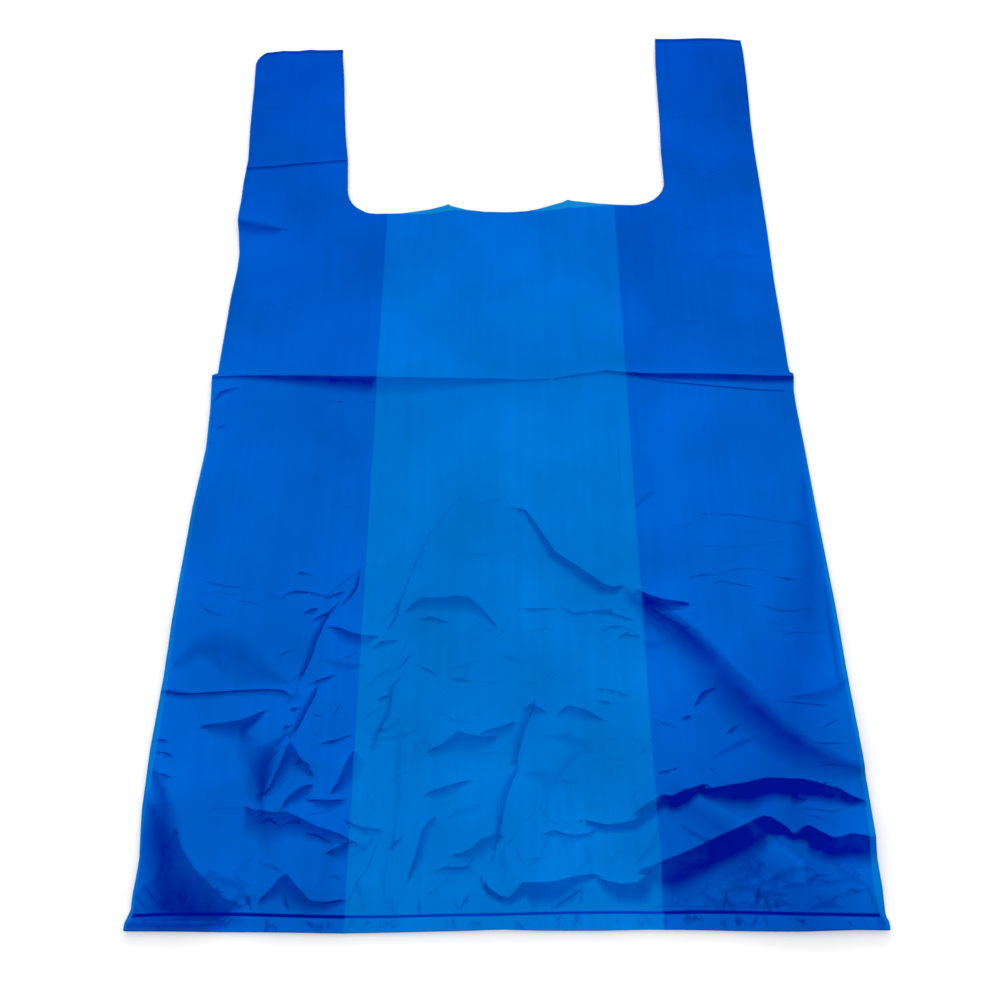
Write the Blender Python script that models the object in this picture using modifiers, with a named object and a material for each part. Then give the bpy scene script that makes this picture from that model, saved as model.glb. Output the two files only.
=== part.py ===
"""T-shirt carrier bag of thin plastic film, empty and laid flat on a table.

Metres. +X runs across the bag, +Y from the bottom weld up to the handles, and +Z up. The origin is
on the table, under the middle of the bag.

The bag is one gusseted tube of film, and it is built as the real one is made. A flat sheet with
the die-cut outline is stacked into the plies of the flattened tube, and the plies are joined along
the tube's folds. The film gets its thickness, and weld bars close the tube across the bottom and
the tops of both handles. The creases then lift the whole stack off the table, and the loose sides
draw in a little, so every ply keeps its distance from the next.
"""

import math

import bpy
import bmesh
from mathutils import Vector
from mathutils.geometry import delaunay_2d_cdt

MM = 0.001

# The tube of film, lying flat.
BAG_WIDTH = 310 * MM
BAG_LENGTH = 545 * MM
GUSSET_DEPTH = 90 * MM
FILM = 0.02 * MM
PLY_PITCH = 0.3 * MM

# The mouth, cut out between the handles. Its foot lies a little to the right of the centre line.
MOUTH_DEPTH = 145 * MM
MOUTH_LEAN = 3 * MM
MOUTH_CORNER_RADIUS = 20 * MM
HANDLE_TOP_WIDTH = 54.5 * MM
HANDLE_ROOT_WIDTH = 60 * MM
HANDLE_CORNER_RADIUS = 3 * MM
NIB_HEIGHT = 8 * MM

# The edge of the mouth's floor from right to left: across in half widths, up in nib heights. The
# two peaks are the nibs where the hanging tab was torn off.
MOUTH_FLOOR = (
    (0.36, 0.55),
    (0.26, 1.0),
    (0.19, 0.45),
    (0.08, 0.0),
    (-0.08, 0.05),
    (-0.16, 0.3),
    (-0.20, 0.75),
    (-0.24, 0.4),
    (-0.34, 0.1),
)

# The heat welds. Each lies in a flat pressed band, set back from the cut edge of the film.
WELD_WIDTH = 1.5 * MM
WELD_BAND = 3 * MM
WELD_END_GAP = 1.5 * MM
WELD_PLY_PITCH = 0.08 * MM
BOTTOM_SKIRT = 7 * MM
HANDLE_SKIRT = 2.5 * MM
WELD_EASE = 12 * MM

# How far the sides draw in as the bag lies, as shares of SIDE_DRAW along the bag.
SIDE_DRAW = 5 * MM
DRAWN_IN = (
    (-1.0, 0.06),
    (-0.7, 0.0),
    (-0.35, 0.25),
    (-0.1, 0.8),
    (0.1, 1.0),
    (0.64, 1.0),
    (0.87, 0.6),
    (1.0, 0.45),
)

# A fold is a ridge with one slope on each side of its crest: it falls by this much for each metre
# away from the crest. The first slope is on the right of someone who walks along the crest. A fold
# ends at a tip with no rise, or runs off the edge of the film.
FOLD_RISE = 8 * MM
SWELL_SLOPES = (0.42, 0.14)
PLEAT_SLOPES = (0.42, 0.38)
CREASE_SLOPES = (0.5, 0.3)

# Crests, each from end to end: across in half widths, along in half lengths, up in fold rises.
FOLDS = (
    # The line where the bag was folded in half when it was packed.
    (
        PLEAT_SLOPES,
        (-1.03, 0.045, 0.12),
        (-0.71, 0.038, 0.3),
        (-0.39, 0.027, 0.55),
        (-0.17, 0.027, 0.38),
        (0.06, 0.023, 0.12),
        (0.2, 0.025, 0.2),
        (0.35, 0.039, 0.25),
        (0.67, 0.028, 0.25),
        (1.03, 0.016, 0.38),
    ),
    # The long slant from the middle to the right side.
    (
        SWELL_SLOPES,
        (0.02, -0.265, 0.0),
        (0.1, -0.317, 0.35),
        (0.18, -0.377, 0.5),
        (0.29, -0.432, 0.4),
        (0.42, -0.444, 0.45),
        (0.56, -0.473, 0.75),
        (0.61, -0.539, 0.8),
        (0.68, -0.609, 0.85),
        (0.75, -0.653, 0.85),
        (0.85, -0.705, 0.7),
        (1.03, -0.765, 0.25),
    ),
    # The two swells at the lower right.
    (
        PLEAT_SLOPES,
        (0.2, -0.845, 0.0),
        (0.33, -0.818, 0.3),
        (0.44, -0.802, 0.5),
        (0.6, -0.785, 0.7),
        (0.78, -0.779, 0.7),
        (0.88, -0.79, 0.55),
        (1.0, -0.83, 0.0),
    ),
    (
        PLEAT_SLOPES,
        (0.28, -0.935, 0.0),
        (0.42, -0.914, 0.55),
        (0.56, -0.872, 0.8),
        (0.68, -0.842, 0.75),
        (0.77, -0.868, 0.5),
        (0.82, -0.852, 0.65),
        (0.88, -0.871, 0.65),
        (1.03, -0.872, 0.4),
    ),
    # Lower left: the corner, the quilted patch, the shoulder below it and the band.
    (
        SWELL_SLOPES,
        (-0.9, -0.77, 0.0),
        (-0.865, -0.882, 0.45),
        (-0.77, -0.94, 0.35),
        (-0.6, -0.97, 0.0),
    ),
    (
        SWELL_SLOPES,
        (-0.96, -0.56, 0.0),
        (-0.9, -0.507, 0.22),
        (-0.76, -0.51, 0.25),
        (-0.63, -0.6, 0.0),
    ),
    (
        SWELL_SLOPES,
        (-0.7, -0.82, 0.0),
        (-0.75, -0.743, 0.3),
        (-0.83, -0.69, 0.3),
        (-0.97, -0.655, 0.0),
    ),
    (
        PLEAT_SLOPES,
        (-0.73, -0.815, 0.0),
        (-0.6, -0.823, 0.45),
        (-0.52, -0.836, 0.45),
        (-0.41, -0.86, 0.0),
    ),
    # Left side.
    (
        CREASE_SLOPES,
        (-1.03, -0.612, 0.2),
        (-0.79, -0.613, 0.2),
        (-0.66, -0.609, 0.2),
        (-0.6, -0.63, 0.0),
    ),
    (
        CREASE_SLOPES,
        (-0.68, -0.81, 0.0),
        (-0.61, -0.752, 0.45),
        (-0.59, -0.711, 0.65),
        (-0.56, -0.745, 0.5),
        (-0.47, -0.79, 0.0),
    ),
    (CREASE_SLOPES, (-0.66, -0.955, 0.0), (-0.58, -0.918, 0.6), (-0.48, -0.957, 0.0)),
    (
        CREASE_SLOPES,
        (-0.59, -0.61, 0.0),
        (-0.545, -0.538, 0.35),
        (-0.51, -0.476, 0.35),
        (-0.42, -0.385, 0.0),
    ),
    (CREASE_SLOPES, (-0.6, -0.705, 0.0), (-0.57, -0.66, 0.3), (-0.53, -0.605, 0.0)),
    (CREASE_SLOPES, (-0.99, -0.035, 0.0), (-0.92, -0.005, 0.25), (-0.86, 0.013, 0.0)),
    # Middle.
    (
        CREASE_SLOPES,
        (0.02, -0.462, 0.0),
        (0.17, -0.464, 0.2),
        (0.28, -0.473, 0.2),
        (0.39, -0.447, 0.0),
    ),
    (PLEAT_SLOPES, (-0.32, -0.45, 0.0), (-0.13, -0.44, 0.4), (0.02, -0.497, 0.0)),
    (
        CREASE_SLOPES,
        (-0.33, -0.475, 0.0),
        (-0.26, -0.369, 0.25),
        (-0.225, -0.318, 0.25),
        (-0.1, -0.21, 0.0),
    ),
    (
        CREASE_SLOPES,
        (-0.01, -0.86, 0.0),
        (0.01, -0.804, 0.4),
        (0.04, -0.714, 0.4),
        (0.11, -0.625, 0.0),
    ),
    (PLEAT_SLOPES, (-0.24, -0.722, 0.0), (-0.14, -0.688, 0.35), (0.05, -0.673, 0.0)),
    (
        PLEAT_SLOPES,
        (-0.11, -0.9, 0.0),
        (-0.05, -0.925, 0.4),
        (0.03, -0.94, 0.45),
        (0.24, -0.904, 0.35),
        (0.38, -0.93, 0.0),
    ),
    (PLEAT_SLOPES, (0.11, -0.646, 0.0), (0.21, -0.637, 0.3), (0.33, -0.663, 0.0)),
    (
        CREASE_SLOPES,
        (-0.33, -0.96, 0.0),
        (-0.27, -0.88, 0.35),
        (-0.285, -0.8, 0.3),
        (-0.3, -0.72, 0.0),
    ),
    # Handles and their roots.
    (CREASE_SLOPES, (-1.03, 0.61, 0.1), (-0.77, 0.617, 0.2), (-0.54, 0.63, 0.1)),
    (CREASE_SLOPES, (-0.98, 0.437, 0.0), (-0.88, 0.438, 0.3), (-0.65, 0.42, 0.0)),
    (CREASE_SLOPES, (0.54, 0.58, 0.1), (0.75, 0.581, 0.15), (1.03, 0.55, 0.1)),
)

# The row of small gathers that run up from the bottom weld. Each is highest at GATHER_PEAK, a share
# of its length. Lean and length swing from one gather to the next by these angles, in radians.
GATHER_COUNT = 16
GATHER_LENGTH = 22 * MM
GATHER_SHORTEST = 11 * MM
GATHER_RISE = 1.6 * MM
GATHER_LEAN = 5 * MM
GATHER_PEAK = 0.45
LEAN_SWING_ANGLE = 2.4
LENGTH_SWING_ANGLE = 1.9

CORNER_STEPS = 5
# Points of the sheet closer than SNAP are one point. Fold lines that cross within SAME_SPOT meet.
SNAP = 0.1 * MM
SAME_SPOT = 0.01 * MM

BLUE = (0.0, 0.07, 0.55, 1.0)
FILM_ROUGHNESS = 0.38

HALF_WIDTH = BAG_WIDTH / 2
HALF_LENGTH = BAG_LENGTH / 2
INNER_FOLD = HALF_WIDTH - GUSSET_DEPTH
BOTTOM_WELD = -HALF_LENGTH + BOTTOM_SKIRT
HANDLE_WELD = HALF_LENGTH - HANDLE_SKIRT
FRONT_LEVEL = 3


def rounded(before, corner, after, radius):
    """Points along the arc that rounds a corner of an outline, from before's side to after's."""
    to_before = (before - corner).normalized()
    to_after = (after - corner).normalized()
    half_angle = to_before.angle(to_after) / 2
    centre = corner + (to_before + to_after).normalized() * (radius / math.sin(half_angle))
    first = corner + to_before * (radius / math.tan(half_angle)) - centre
    last = corner + to_after * (radius / math.tan(half_angle)) - centre
    turns = [first.slerp(last, step / CORNER_STEPS) for step in range(CORNER_STEPS + 1)]
    return [centre + turn * radius for turn in turns]


def bag_outline():
    """The flat outline of every full ply, anticlockwise from the bottom left corner."""
    floor = HALF_LENGTH - MOUTH_DEPTH
    inner_top = HALF_WIDTH - HANDLE_TOP_WIDTH
    inner_root = HALF_WIDTH - HANDLE_ROOT_WIDTH
    bottom_right = Vector((HALF_WIDTH, -HALF_LENGTH))
    right_outer = Vector((HALF_WIDTH, HALF_LENGTH))
    right_inner = Vector((inner_top, HALF_LENGTH))
    right_root = Vector((inner_root + MOUTH_LEAN, floor + NIB_HEIGHT * MOUTH_FLOOR[0][1]))
    left_root = Vector((-inner_root + MOUTH_LEAN, floor))
    left_inner = Vector((-inner_top, HALF_LENGTH))
    left_outer = Vector((-HALF_WIDTH, HALF_LENGTH))
    bottom_left = Vector((-HALF_WIDTH, -HALF_LENGTH))
    floor_edge = [Vector((across * HALF_WIDTH, floor + up * NIB_HEIGHT)) for across, up in MOUTH_FLOOR]
    return [
        bottom_left,
        bottom_right,
        *rounded(bottom_right, right_outer, right_inner, HANDLE_CORNER_RADIUS),
        right_inner,
        *rounded(right_inner, right_root, floor_edge[0], MOUTH_CORNER_RADIUS),
        *floor_edge,
        *rounded(floor_edge[-1], left_root, left_inner, MOUTH_CORNER_RADIUS),
        left_inner,
        *rounded(left_inner, left_outer, bottom_left, HANDLE_CORNER_RADIUS),
    ]


def gathers():
    """Small creases that run up from the bottom weld, long and short and leaning both ways."""
    found = []
    spacing = (BAG_WIDTH - 2 * WELD_END_GAP) / GATHER_COUNT
    mean_length = (GATHER_LENGTH + GATHER_SHORTEST) / 2
    for number in range(GATHER_COUNT):
        across = -HALF_WIDTH + WELD_END_GAP + spacing * (number + 0.5)
        lean = GATHER_LEAN * math.sin(number * LEAN_SWING_ANGLE)
        swing = math.cos(number * LENGTH_SWING_ANGLE)
        length = mean_length + (GATHER_LENGTH - mean_length) * swing
        root = Vector((across, BOTTOM_WELD + WELD_BAND / 2))
        top = root + Vector((lean, length))
        crest = [root, root.lerp(top, GATHER_PEAK), top]
        found.append((crest, [0.0, GATHER_RISE, 0.0], CREASE_SLOPES))
    return found


def creases():
    """Every fold and gather as its crest points, their rises and its two slopes."""
    found = []
    for slopes, *crest in FOLDS:
        points = [Vector((across * HALF_WIDTH, along * HALF_LENGTH)) for across, along, _ in crest]
        found.append((points, [up * FOLD_RISE for _, _, up in crest], slopes))
    return found + gathers()


def foot_line(points, rises, slope, side):
    """Where a fold's slope meets the table, at the right of its crest (side 1) or the left (-1)."""
    feet = []
    for before, point, after, rise in zip(points[:1] + points, points, points[1:] + points[-1:], rises):
        ahead = after - before
        right = Vector((ahead.y, -ahead.x)).normalized()
        feet.append(point + right * (side * rise / slope))
    return feet


def height_over_table(place, folds):
    """How far the folds lift the film at a place: the sum of every ridge that reaches it."""
    height = 0.0
    for points, rises, slopes in folds:
        reached = []
        for start, end, rise_start, rise_end in zip(points, points[1:], rises, rises[1:]):
            run = end - start
            share = min(max((place - start).dot(run) / run.length_squared, 0.0), 1.0)
            offset = place - (start + run * share)
            rise = rise_start + (rise_end - rise_start) * share
            reached.append((offset.length, rise, run.cross(offset) < 0))
        on_right = min(reached)[2]
        slope = slopes[0] if on_right else slopes[1]
        height += max(0.0, *(rise - distance * slope for distance, rise, _ in reached))
    return height


def drawn_in(along):
    """The share of SIDE_DRAW at a place along the bag, between the stations of DRAWN_IN."""
    for (start, low), (end, high) in zip(DRAWN_IN, DRAWN_IN[1:]):
        if along <= end:
            share = max((along - start) / (end - start), 0.0)
            return low + (high - low) * share
    return DRAWN_IN[-1][1]


def creased_sheet(folds):
    """One flat ply with the bag's outline, whose edges run along every fold, gather and weld band."""
    outline = bag_outline()
    coords = list(outline)
    edges = []

    def add_line(points):
        first = len(coords)
        coords.extend(points)
        edges.extend((index, index + 1) for index in range(first, len(coords) - 1))

    for across in (-INNER_FOLD, INNER_FOLD):
        add_line([Vector((across, -BAG_LENGTH)), Vector((across, BAG_LENGTH))])
    for weld in (BOTTOM_WELD, HANDLE_WELD):
        for side in (-WELD_BAND / 2, WELD_BAND / 2):
            add_line([Vector((-BAG_WIDTH, weld + side)), Vector((BAG_WIDTH, weld + side))])
    for points, rises, slopes in folds:
        add_line(points)
        add_line(foot_line(points, rises, slopes[0], 1))
        add_line(foot_line(points, rises, slopes[1], -1))

    found = delaunay_2d_cdt(coords, edges, [list(range(len(outline)))], 0, SAME_SPOT)
    places, triangles, owners = found[0], found[2], found[5]
    sheet = bmesh.new()
    corners = [sheet.verts.new((place.x, place.y, 0.0)) for place in places]
    for triangle, owner in zip(triangles, owners):
        if owner:
            sheet.faces.new([corners[index] for index in triangle])
    unused = [corner for corner in sheet.verts if not corner.link_faces]
    bmesh.ops.delete(sheet, geom=unused, context="VERTS")
    bmesh.ops.remove_doubles(sheet, verts=sheet.verts, dist=SNAP)
    return sheet


def fold_edges(ply_edges, across):
    """The open edges of one ply that lie along a fold line."""
    return [
        edge
        for edge in ply_edges
        if edge.is_boundary and all(abs(corner.co.x - across) < SNAP for corner in edge.verts)
    ]


def flattened_tube(sheet):
    """The film's middle surface: back, two gusset plies a side and front, joined along the folds."""
    ply = bpy.data.meshes.new("ply")
    sheet.to_mesh(ply)
    tube = bmesh.new()
    plies = []
    for level in range(FRONT_LEVEL + 1):
        known = set(tube.faces)
        tube.from_mesh(ply)
        faces = [face for face in tube.faces if face not in known]
        corners = list({corner for face in faces for corner in face.verts})
        bmesh.ops.translate(tube, verts=corners, vec=(0.0, 0.0, level * PLY_PITCH))
        if level not in (0, FRONT_LEVEL):
            between = [face for face in faces if abs(face.calc_center_median().x) < INNER_FOLD]
            bmesh.ops.delete(tube, geom=between, context="FACES")
            faces = [face for face in faces if face.is_valid]
        plies.append(list({edge for face in faces for edge in face.edges}))
    for side in (-1, 1):
        for low, across in ((0, HALF_WIDTH), (1, INNER_FOLD), (2, HALF_WIDTH)):
            joined = fold_edges(plies[low], side * across) + fold_edges(plies[low + 1], side * across)
            bmesh.ops.bridge_loops(tube, edges=joined)
    bmesh.ops.recalc_face_normals(tube, faces=tube.faces)
    mesh = bpy.data.meshes.new("bag")
    tube.to_mesh(mesh)
    tube.free()
    sheet.free()
    bpy.data.meshes.remove(ply)
    return mesh


def weld_bar(name, left, right, weld, collection):
    """A bar that fuses all plies across a weld. It ends in the middle of the outermost films."""
    bpy.ops.mesh.primitive_cube_add(size=1.0)
    bar = bpy.context.active_object
    bar.name = name
    height = FRONT_LEVEL * PLY_PITCH
    bar.scale = (right - left, WELD_WIDTH, height)
    bar.location = ((left + right) / 2, weld, height / 2)
    bpy.ops.object.transform_apply(location=True, rotation=False, scale=True)
    bar.hide_render = True
    bar.display_type = "WIRE"
    for owner in bar.users_collection:
        owner.objects.unlink(bar)
    collection.objects.link(bar)
    return bar


def fuse(bag, bar):
    """Joins a weld bar to the film."""
    union = bag.modifiers.new(bar.name, "BOOLEAN")
    union.operation = "UNION"
    union.solver = "EXACT"
    union.object = bar


def lay_on_table(mesh, folds):
    """Presses the plies together at the welds, lifts the stack over its folds and draws it in."""
    for corner in mesh.vertices:
        across, along, up = corner.co
        level = round(up / PLY_PITCH)
        from_weld = min(abs(along - BOTTOM_WELD), abs(along - HANDLE_WELD)) - WELD_BAND / 2
        loose = min(max(from_weld / WELD_EASE, 0.0), 1.0)
        pitch = WELD_PLY_PITCH + (PLY_PITCH - WELD_PLY_PITCH) * loose
        in_film = up - level * PLY_PITCH + FILM / 2
        height = height_over_table(Vector((across, along)), folds)
        narrowing = drawn_in(along / HALF_LENGTH) * SIDE_DRAW / HALF_WIDTH
        corner.co = (across * (1 - narrowing), along, in_film + level * pitch + height * loose)


def film_material():
    """Blue high-density film, slightly glossy."""
    material = bpy.data.materials.new("blue film")
    material.use_nodes = True
    shader = material.node_tree.nodes["Principled BSDF"]
    shader.inputs["Base Color"].default_value = BLUE
    shader.inputs["Roughness"].default_value = FILM_ROUGHNESS
    return material


def main():
    for obj in list(bpy.data.objects):
        bpy.data.objects.remove(obj, do_unlink=True)
    bag_collection = bpy.data.collections.new("t-shirt bag")
    tool_collection = bpy.data.collections.new("weld bars")
    for collection in (bag_collection, tool_collection):
        bpy.context.scene.collection.children.link(collection)

    folds = creases()
    bag = bpy.data.objects.new("bag", flattened_tube(creased_sheet(folds)))
    bag_collection.objects.link(bag)
    film = bag.modifiers.new("film thickness", "SOLIDIFY")
    film.thickness = FILM
    film.offset = 0.0
    film.use_even_offset = True

    outer = HALF_WIDTH - WELD_END_GAP
    inner = HALF_WIDTH - HANDLE_TOP_WIDTH + WELD_END_GAP
    fuse(bag, weld_bar("bottom weld", -outer, outer, BOTTOM_WELD, tool_collection))
    fuse(bag, weld_bar("left handle weld", -outer, -inner, HANDLE_WELD, tool_collection))
    fuse(bag, weld_bar("right handle weld", inner, outer, HANDLE_WELD, tool_collection))

    graph = bpy.context.evaluated_depsgraph_get()
    welded = bpy.data.meshes.new_from_object(bag.evaluated_get(graph))
    bag.modifiers.clear()
    bag.data = welded
    lay_on_table(welded, folds)
    welded.materials.clear()
    welded.materials.append(film_material())
    welded.shade_flat()


main()
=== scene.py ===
"""Looks of a t-shirt carrier bag of thin blue film, lying flat, laid out as a Blender add-on.

The film is laid ply by ply over its creases, in metres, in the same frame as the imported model.
"""

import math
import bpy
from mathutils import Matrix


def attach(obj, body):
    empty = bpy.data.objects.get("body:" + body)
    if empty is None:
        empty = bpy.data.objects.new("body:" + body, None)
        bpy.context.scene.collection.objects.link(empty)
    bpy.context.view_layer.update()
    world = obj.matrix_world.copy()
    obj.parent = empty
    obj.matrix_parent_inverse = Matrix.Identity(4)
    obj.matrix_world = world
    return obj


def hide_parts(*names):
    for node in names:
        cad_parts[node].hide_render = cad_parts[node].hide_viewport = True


bl_info = {
    "name": "T-Shirt Film Bag",
    "version": (1, 0, 0),
    "blender": (4, 5, 0),
    "location": "3D View > Sidebar > Film Bag",
    "description": "Lays a creased t-shirt bag of blue film and the pale stage under it",
    "category": "Object",
}

from collections import namedtuple

import bmesh
import bpy
import numpy as np
from bpy.props import FloatProperty, FloatVectorProperty, IntProperty, PointerProperty
from mathutils import Matrix, Vector

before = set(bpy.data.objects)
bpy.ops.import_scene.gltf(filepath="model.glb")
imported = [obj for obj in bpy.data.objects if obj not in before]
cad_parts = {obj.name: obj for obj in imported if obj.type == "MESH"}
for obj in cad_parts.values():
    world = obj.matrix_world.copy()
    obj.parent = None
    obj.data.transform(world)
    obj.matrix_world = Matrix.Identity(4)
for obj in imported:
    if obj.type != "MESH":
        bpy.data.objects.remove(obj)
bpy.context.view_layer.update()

MM = 0.001
BAG_NODE = "bag"

# The lying bag's side edges, from the bottom up: along the bag and across it, in mm.
LEFT_SIDE = (
    (-273, -154.9), (-269, -155.2), (-266.5, -154.8), (-265, -154.1), (-263.5, -153.6), (-251, -153.1),
    (-242, -152.9), (-230, -154.2), (-221, -155.0), (-194, -155.4), (-158, -154.1), (-112, -153.8),
    (-70, -152.4), (-52, -151.1), (-34, -149.9), (-10, -150.6), (4, -151.7), (9, -152.1), (12.6, -152.2),
    (13.2, -149.4), (24, -149.3), (65, -148.4), (87, -147.0), (98, -147.0), (122, -150.1),
    (154, -150.6), (174, -149.7), (202, -151.3), (238, -152.4), (255, -153.4), (261.5, -153.7),
    (265.5, -153.1), (268, -152.4), (270, -151.3), (271.3, -150), (272.3, -148),
)
RIGHT_SIDE = (
    (-275, 155.2), (-271, 155.8), (-268.5, 155.9), (-266.5, 155.2), (-259, 155.0), (-241, 154.6),
    (-217, 155.6), (-183, 155.0), (-124, 154.2), (-75, 152.8), (-39, 151.9), (-14, 151.0), (-3, 150.9),
    (4.5, 151.8), (7.6, 151.8), (8.8, 150.1), (30, 150.0), (70, 149.6), (115, 150.0), (173, 149.9),
    (194, 150.3), (237, 151.9), (266, 152.5), (280, 152.2),
)

# The cut edge of the mouth in mm: down the left handle, across the floor with the two nibs where the
# hanging tab was torn off, and up the right handle. A rounded corner joins each handle to the floor.
MOUTH_LEFT = ((-100.4, 290), (-99.4, 266), (-97, 243), (-95, 215), (-93, 193), (-90.5, 173), (-89, 148))
MOUTH_FLOOR = (
    (-71.4, 127.4), (-57.6, 127.7), (-40.4, 130.4), (-32.2, 133), (-30.1, 134.2), (-28.6, 132.7),
    (-19.6, 129.2), (-9.3, 127.3), (4.5, 127), (14.8, 127.5), (21.7, 129), (35.6, 134.2), (39.2, 136.5),
    (40.8, 135.2), (49.4, 133.6), (56.3, 132.1), (66.6, 131.1), (76, 130.7),
)
MOUTH_RIGHT = ((95, 150), (95, 175), (96, 200), (96.5, 230), (97, 253), (98.4, 276), (99.2, 290))
MOUTH_CORNER_STEPS = 7

# In mm: up to where along the bag the mouth's edge counts as its floor, and how far to each side the
# floor and the strip of single film above it are looked for.
FLOOR_TOP = 150.0
FLOOR_HALF = 88.0
SINGLE_HALF = 84.0

# How far the back ply's edge lies below the front one's along the mouth's floor: across, drop.
BACK_MOUTH_DROP = (
    (-90, 0.3), (-56, 0.3), (-47, 2.6), (-38, 3.8), (-30, 5.2), (-26, 2.4), (-20, 0.8), (-10, 0.3),
    (16, 0.3), (24, 2.2), (32, 4.6), (39, 6.2), (46, 4.4), (54, 2.6), (64, 0.6), (95, 0.3),
)

# How far the two ends of the film lie off their flat place: across and along, in mm.
TOP_SHIFT = ((-152, -2.2), (-148, -1.5), (-143, -1.2), (-138, 0.0), (-130, -0.8), (-120, 0.5),
             (-111, -0.9), (-101, -0.2), (-98, -0.6), (-30, 0.0), (40, 2.0),
             (96, 4.4), (112, 4.0), (128, 4.4), (140, 3.6), (152, 1.4))
BOTTOM_SHIFT = ((-155, 0.9), (-132, 0.7), (-99, 0.2), (-67, -0.6), (-50, -0.4), (-14, 0.1), (-2, 0.5),
                (15, -0.1), (39, -0.3), (59, 0.0), (80, -0.4), (100, -1.1), (120, -1.5), (144, -0.9),
                (155, -1.2))

# Where along the bag those shifts set in, and over what length they grow to the full, in mm.
TOP_SHIFT_START = 110.0
TOP_SHIFT_RUN = 140.0
BOTTOM_SHIFT_START = -225.0
BOTTOM_SHIFT_RUN = 45.0

# The heat weld across the bottom: across and along, in mm.
BOTTOM_WELD = ((-153.3, -265.3), (-139.4, -264.8), (-127, -264.7), (-108.4, -265), (-87.7, -265.8),
               (-67.1, -266.4), (-50.7, -266.5), (-26.1, -266.1), (-1.6, -265.9), (23, -265.5),
               (47.5, -265.5), (63.8, -265.8), (80.1, -265.6), (96.3, -265.9), (120.6, -266.7),
               (152.9, -267.5))

# How wide a strip along each side edge has fewer plies under it: along the bag and width, in mm.
LEFT_STRIP = ((-272, 1.2), (-255, 1.2), (-232, 0.9), (-208, 2.3), (-190, 2.6), (-150, 1.9), (-85, 1.9),
              (-40, 1.2), (10, 0.6), (272, 0.4))
RIGHT_STRIP = ((-272, 1.6), (-258, 3.4), (-240, 2.8), (-215, 1.8), (-190, 1.7), (-150, 2.0),
               (-100, 1.5), (-40, 0.8), (20, 0.5), (272, 0.4))

# In mm: the pressed band at a weld, how far the film takes to come loose beside it, how far the welds
# of the handle tops lie in from their edges, and how far a weld's colour ends before the side edge.
WELD_BAND = 2.0
WELD_EASE = 9.0
SKIRT_EASE = 5.0
HANDLE_SKIRT = 1.8
WELD_END = 2.0

# The mesh: bands of its rows along the bag, from and to in half lengths, with their spacing as a
# multiple of the cell, and the columns of the back ply and of a gusset ply.
COARSE = 2.5
ROW_BANDS = (
    (-1.0, -0.1, 1.0), (-0.1, -0.01, COARSE), (-0.01, 0.065, 1.0), (0.065, 0.58, COARSE),
    (0.58, 0.65, 1.0), (0.65, 0.955, COARSE), (0.955, 1.0, 1.0),
)
HIDDEN_COLUMNS = 48
PANEL_COLUMNS = 8

# In cells: how near the mouth's edge a corner is moved onto it, how near a crest, and how close two
# moved corners become one.
RIM_REACH = 0.75
CREST_PULL = 0.5
MERGE_REACH = 0.25

# In mm: how close an edge's middle is to a crest to count as on it, how far a crest's line shows, how
# far past its crest a near side is known, and how closely two plies' corners share one side fold.
CREST_TOLERANCE = 0.15
CREST_REACH = 3.0
NEAR_REACH = 1.9
SAME_FOLD = 0.01

# The share of a soft crest's width over which the painted shade on its near side comes in, the blur of a
# crisp crest's edge in mm, and from where in that blur the near side counts as seen.
SOFT_EDGE = 0.3
EDGE_BLUR = 0.15
EDGE_SEEN = -EDGE_BLUR * 0.9

# The painted shade line on a crisp crest, by the fold's width in mm: from which width and over how much
# more it comes, from which and over how much more it goes again, and how much of it goes.
CREASE_SHADE_COMES = (0.4, 2.0)
CREASE_SHADE_GOES = (3.0, 3.0)
CREASE_SHADE_LOSS = 0.8

# Which folds count as wide, and how far from their crests the small creases keep, in mm.
WIDE_FOLD = 4.0
CLEAR_OF_CREST = 2.5

# The front ply's place in the stack, with the back one at 0, and what marks film that isn't single.
FRONT_LEVEL = 3
NOT_SINGLE = -5.0

# The map that the hidden plies follow: its extent and step in mm, over how many steps it spreads and
# is smoothed, how many steps before its end it is last read, and the share of the relief that those
# plies take up.
FIELD_ACROSS = (-160.0, 160.1)
FIELD_ALONG = (-280.0, 284.1)
FIELD_STEP = 2.0
FIELD_SPREAD = 3
FIELD_RIM = 1.001
HIDDEN_SHARE = 0.9

# A small chance crease: how often it leans to the other side, how far its middle bends off as a share
# of half its length, and its width at the ends as a share of the middle's.
LEAN_CHANCE = 0.5
CREASE_BEND = 0.3
CREASE_END = 0.4

# Where the film's tones change, from 0 to 1. In mm: from two plies to four, from one ply to two, from
# plain film to a crest's painted shade line, from plain film to a weld's middle, and in from a weld's end.
FOUR_PLY_EDGE = (-0.25, 0.35)
ONE_PLY_EDGE = (-0.15, 0.15)
CREASE_SHADE_EDGE = (0.60, 0.12)
WELD_EDGE = (0.80, 0.40)
WELD_END_EDGE = (0.0, 0.4)

# How much wider a weld is over four plies, in mm, and in metres along the bag where the film takes
# the handles' tone and where a weld shows in full.
FOUR_PLY_WELD = 0.15
HANDLE_TONE = (-0.05, 0.25)
WELD_TONE = (0.5, 0.0)

# How strong the painted shade line on a crisp crest is, and for which share of four plies it would be gone
# and full, so that it is fainter over two plies, whose share is 0.
CREASE_SHADE_STRENGTH = 0.85
CREASE_SHADE_BY_PLIES = (-0.8, 1.0)

# The values of the noise patterns that give no tone and full tone, the gain of the whole, how many
# streaks there are across, along and through the film in a metre, and the film's roughness.
UNEVEN_RANGE = (-0.9, 0.75)
CLOUD_RANGE = (-1.0, 1.35)
STREAK_RANGE = (-6.0, 1.1)
TONE_GAIN = 1.70
STREAK_SCALE = (260.0, 5.0, 1.0)
FILM_ROUGHNESS = 0.36

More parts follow.
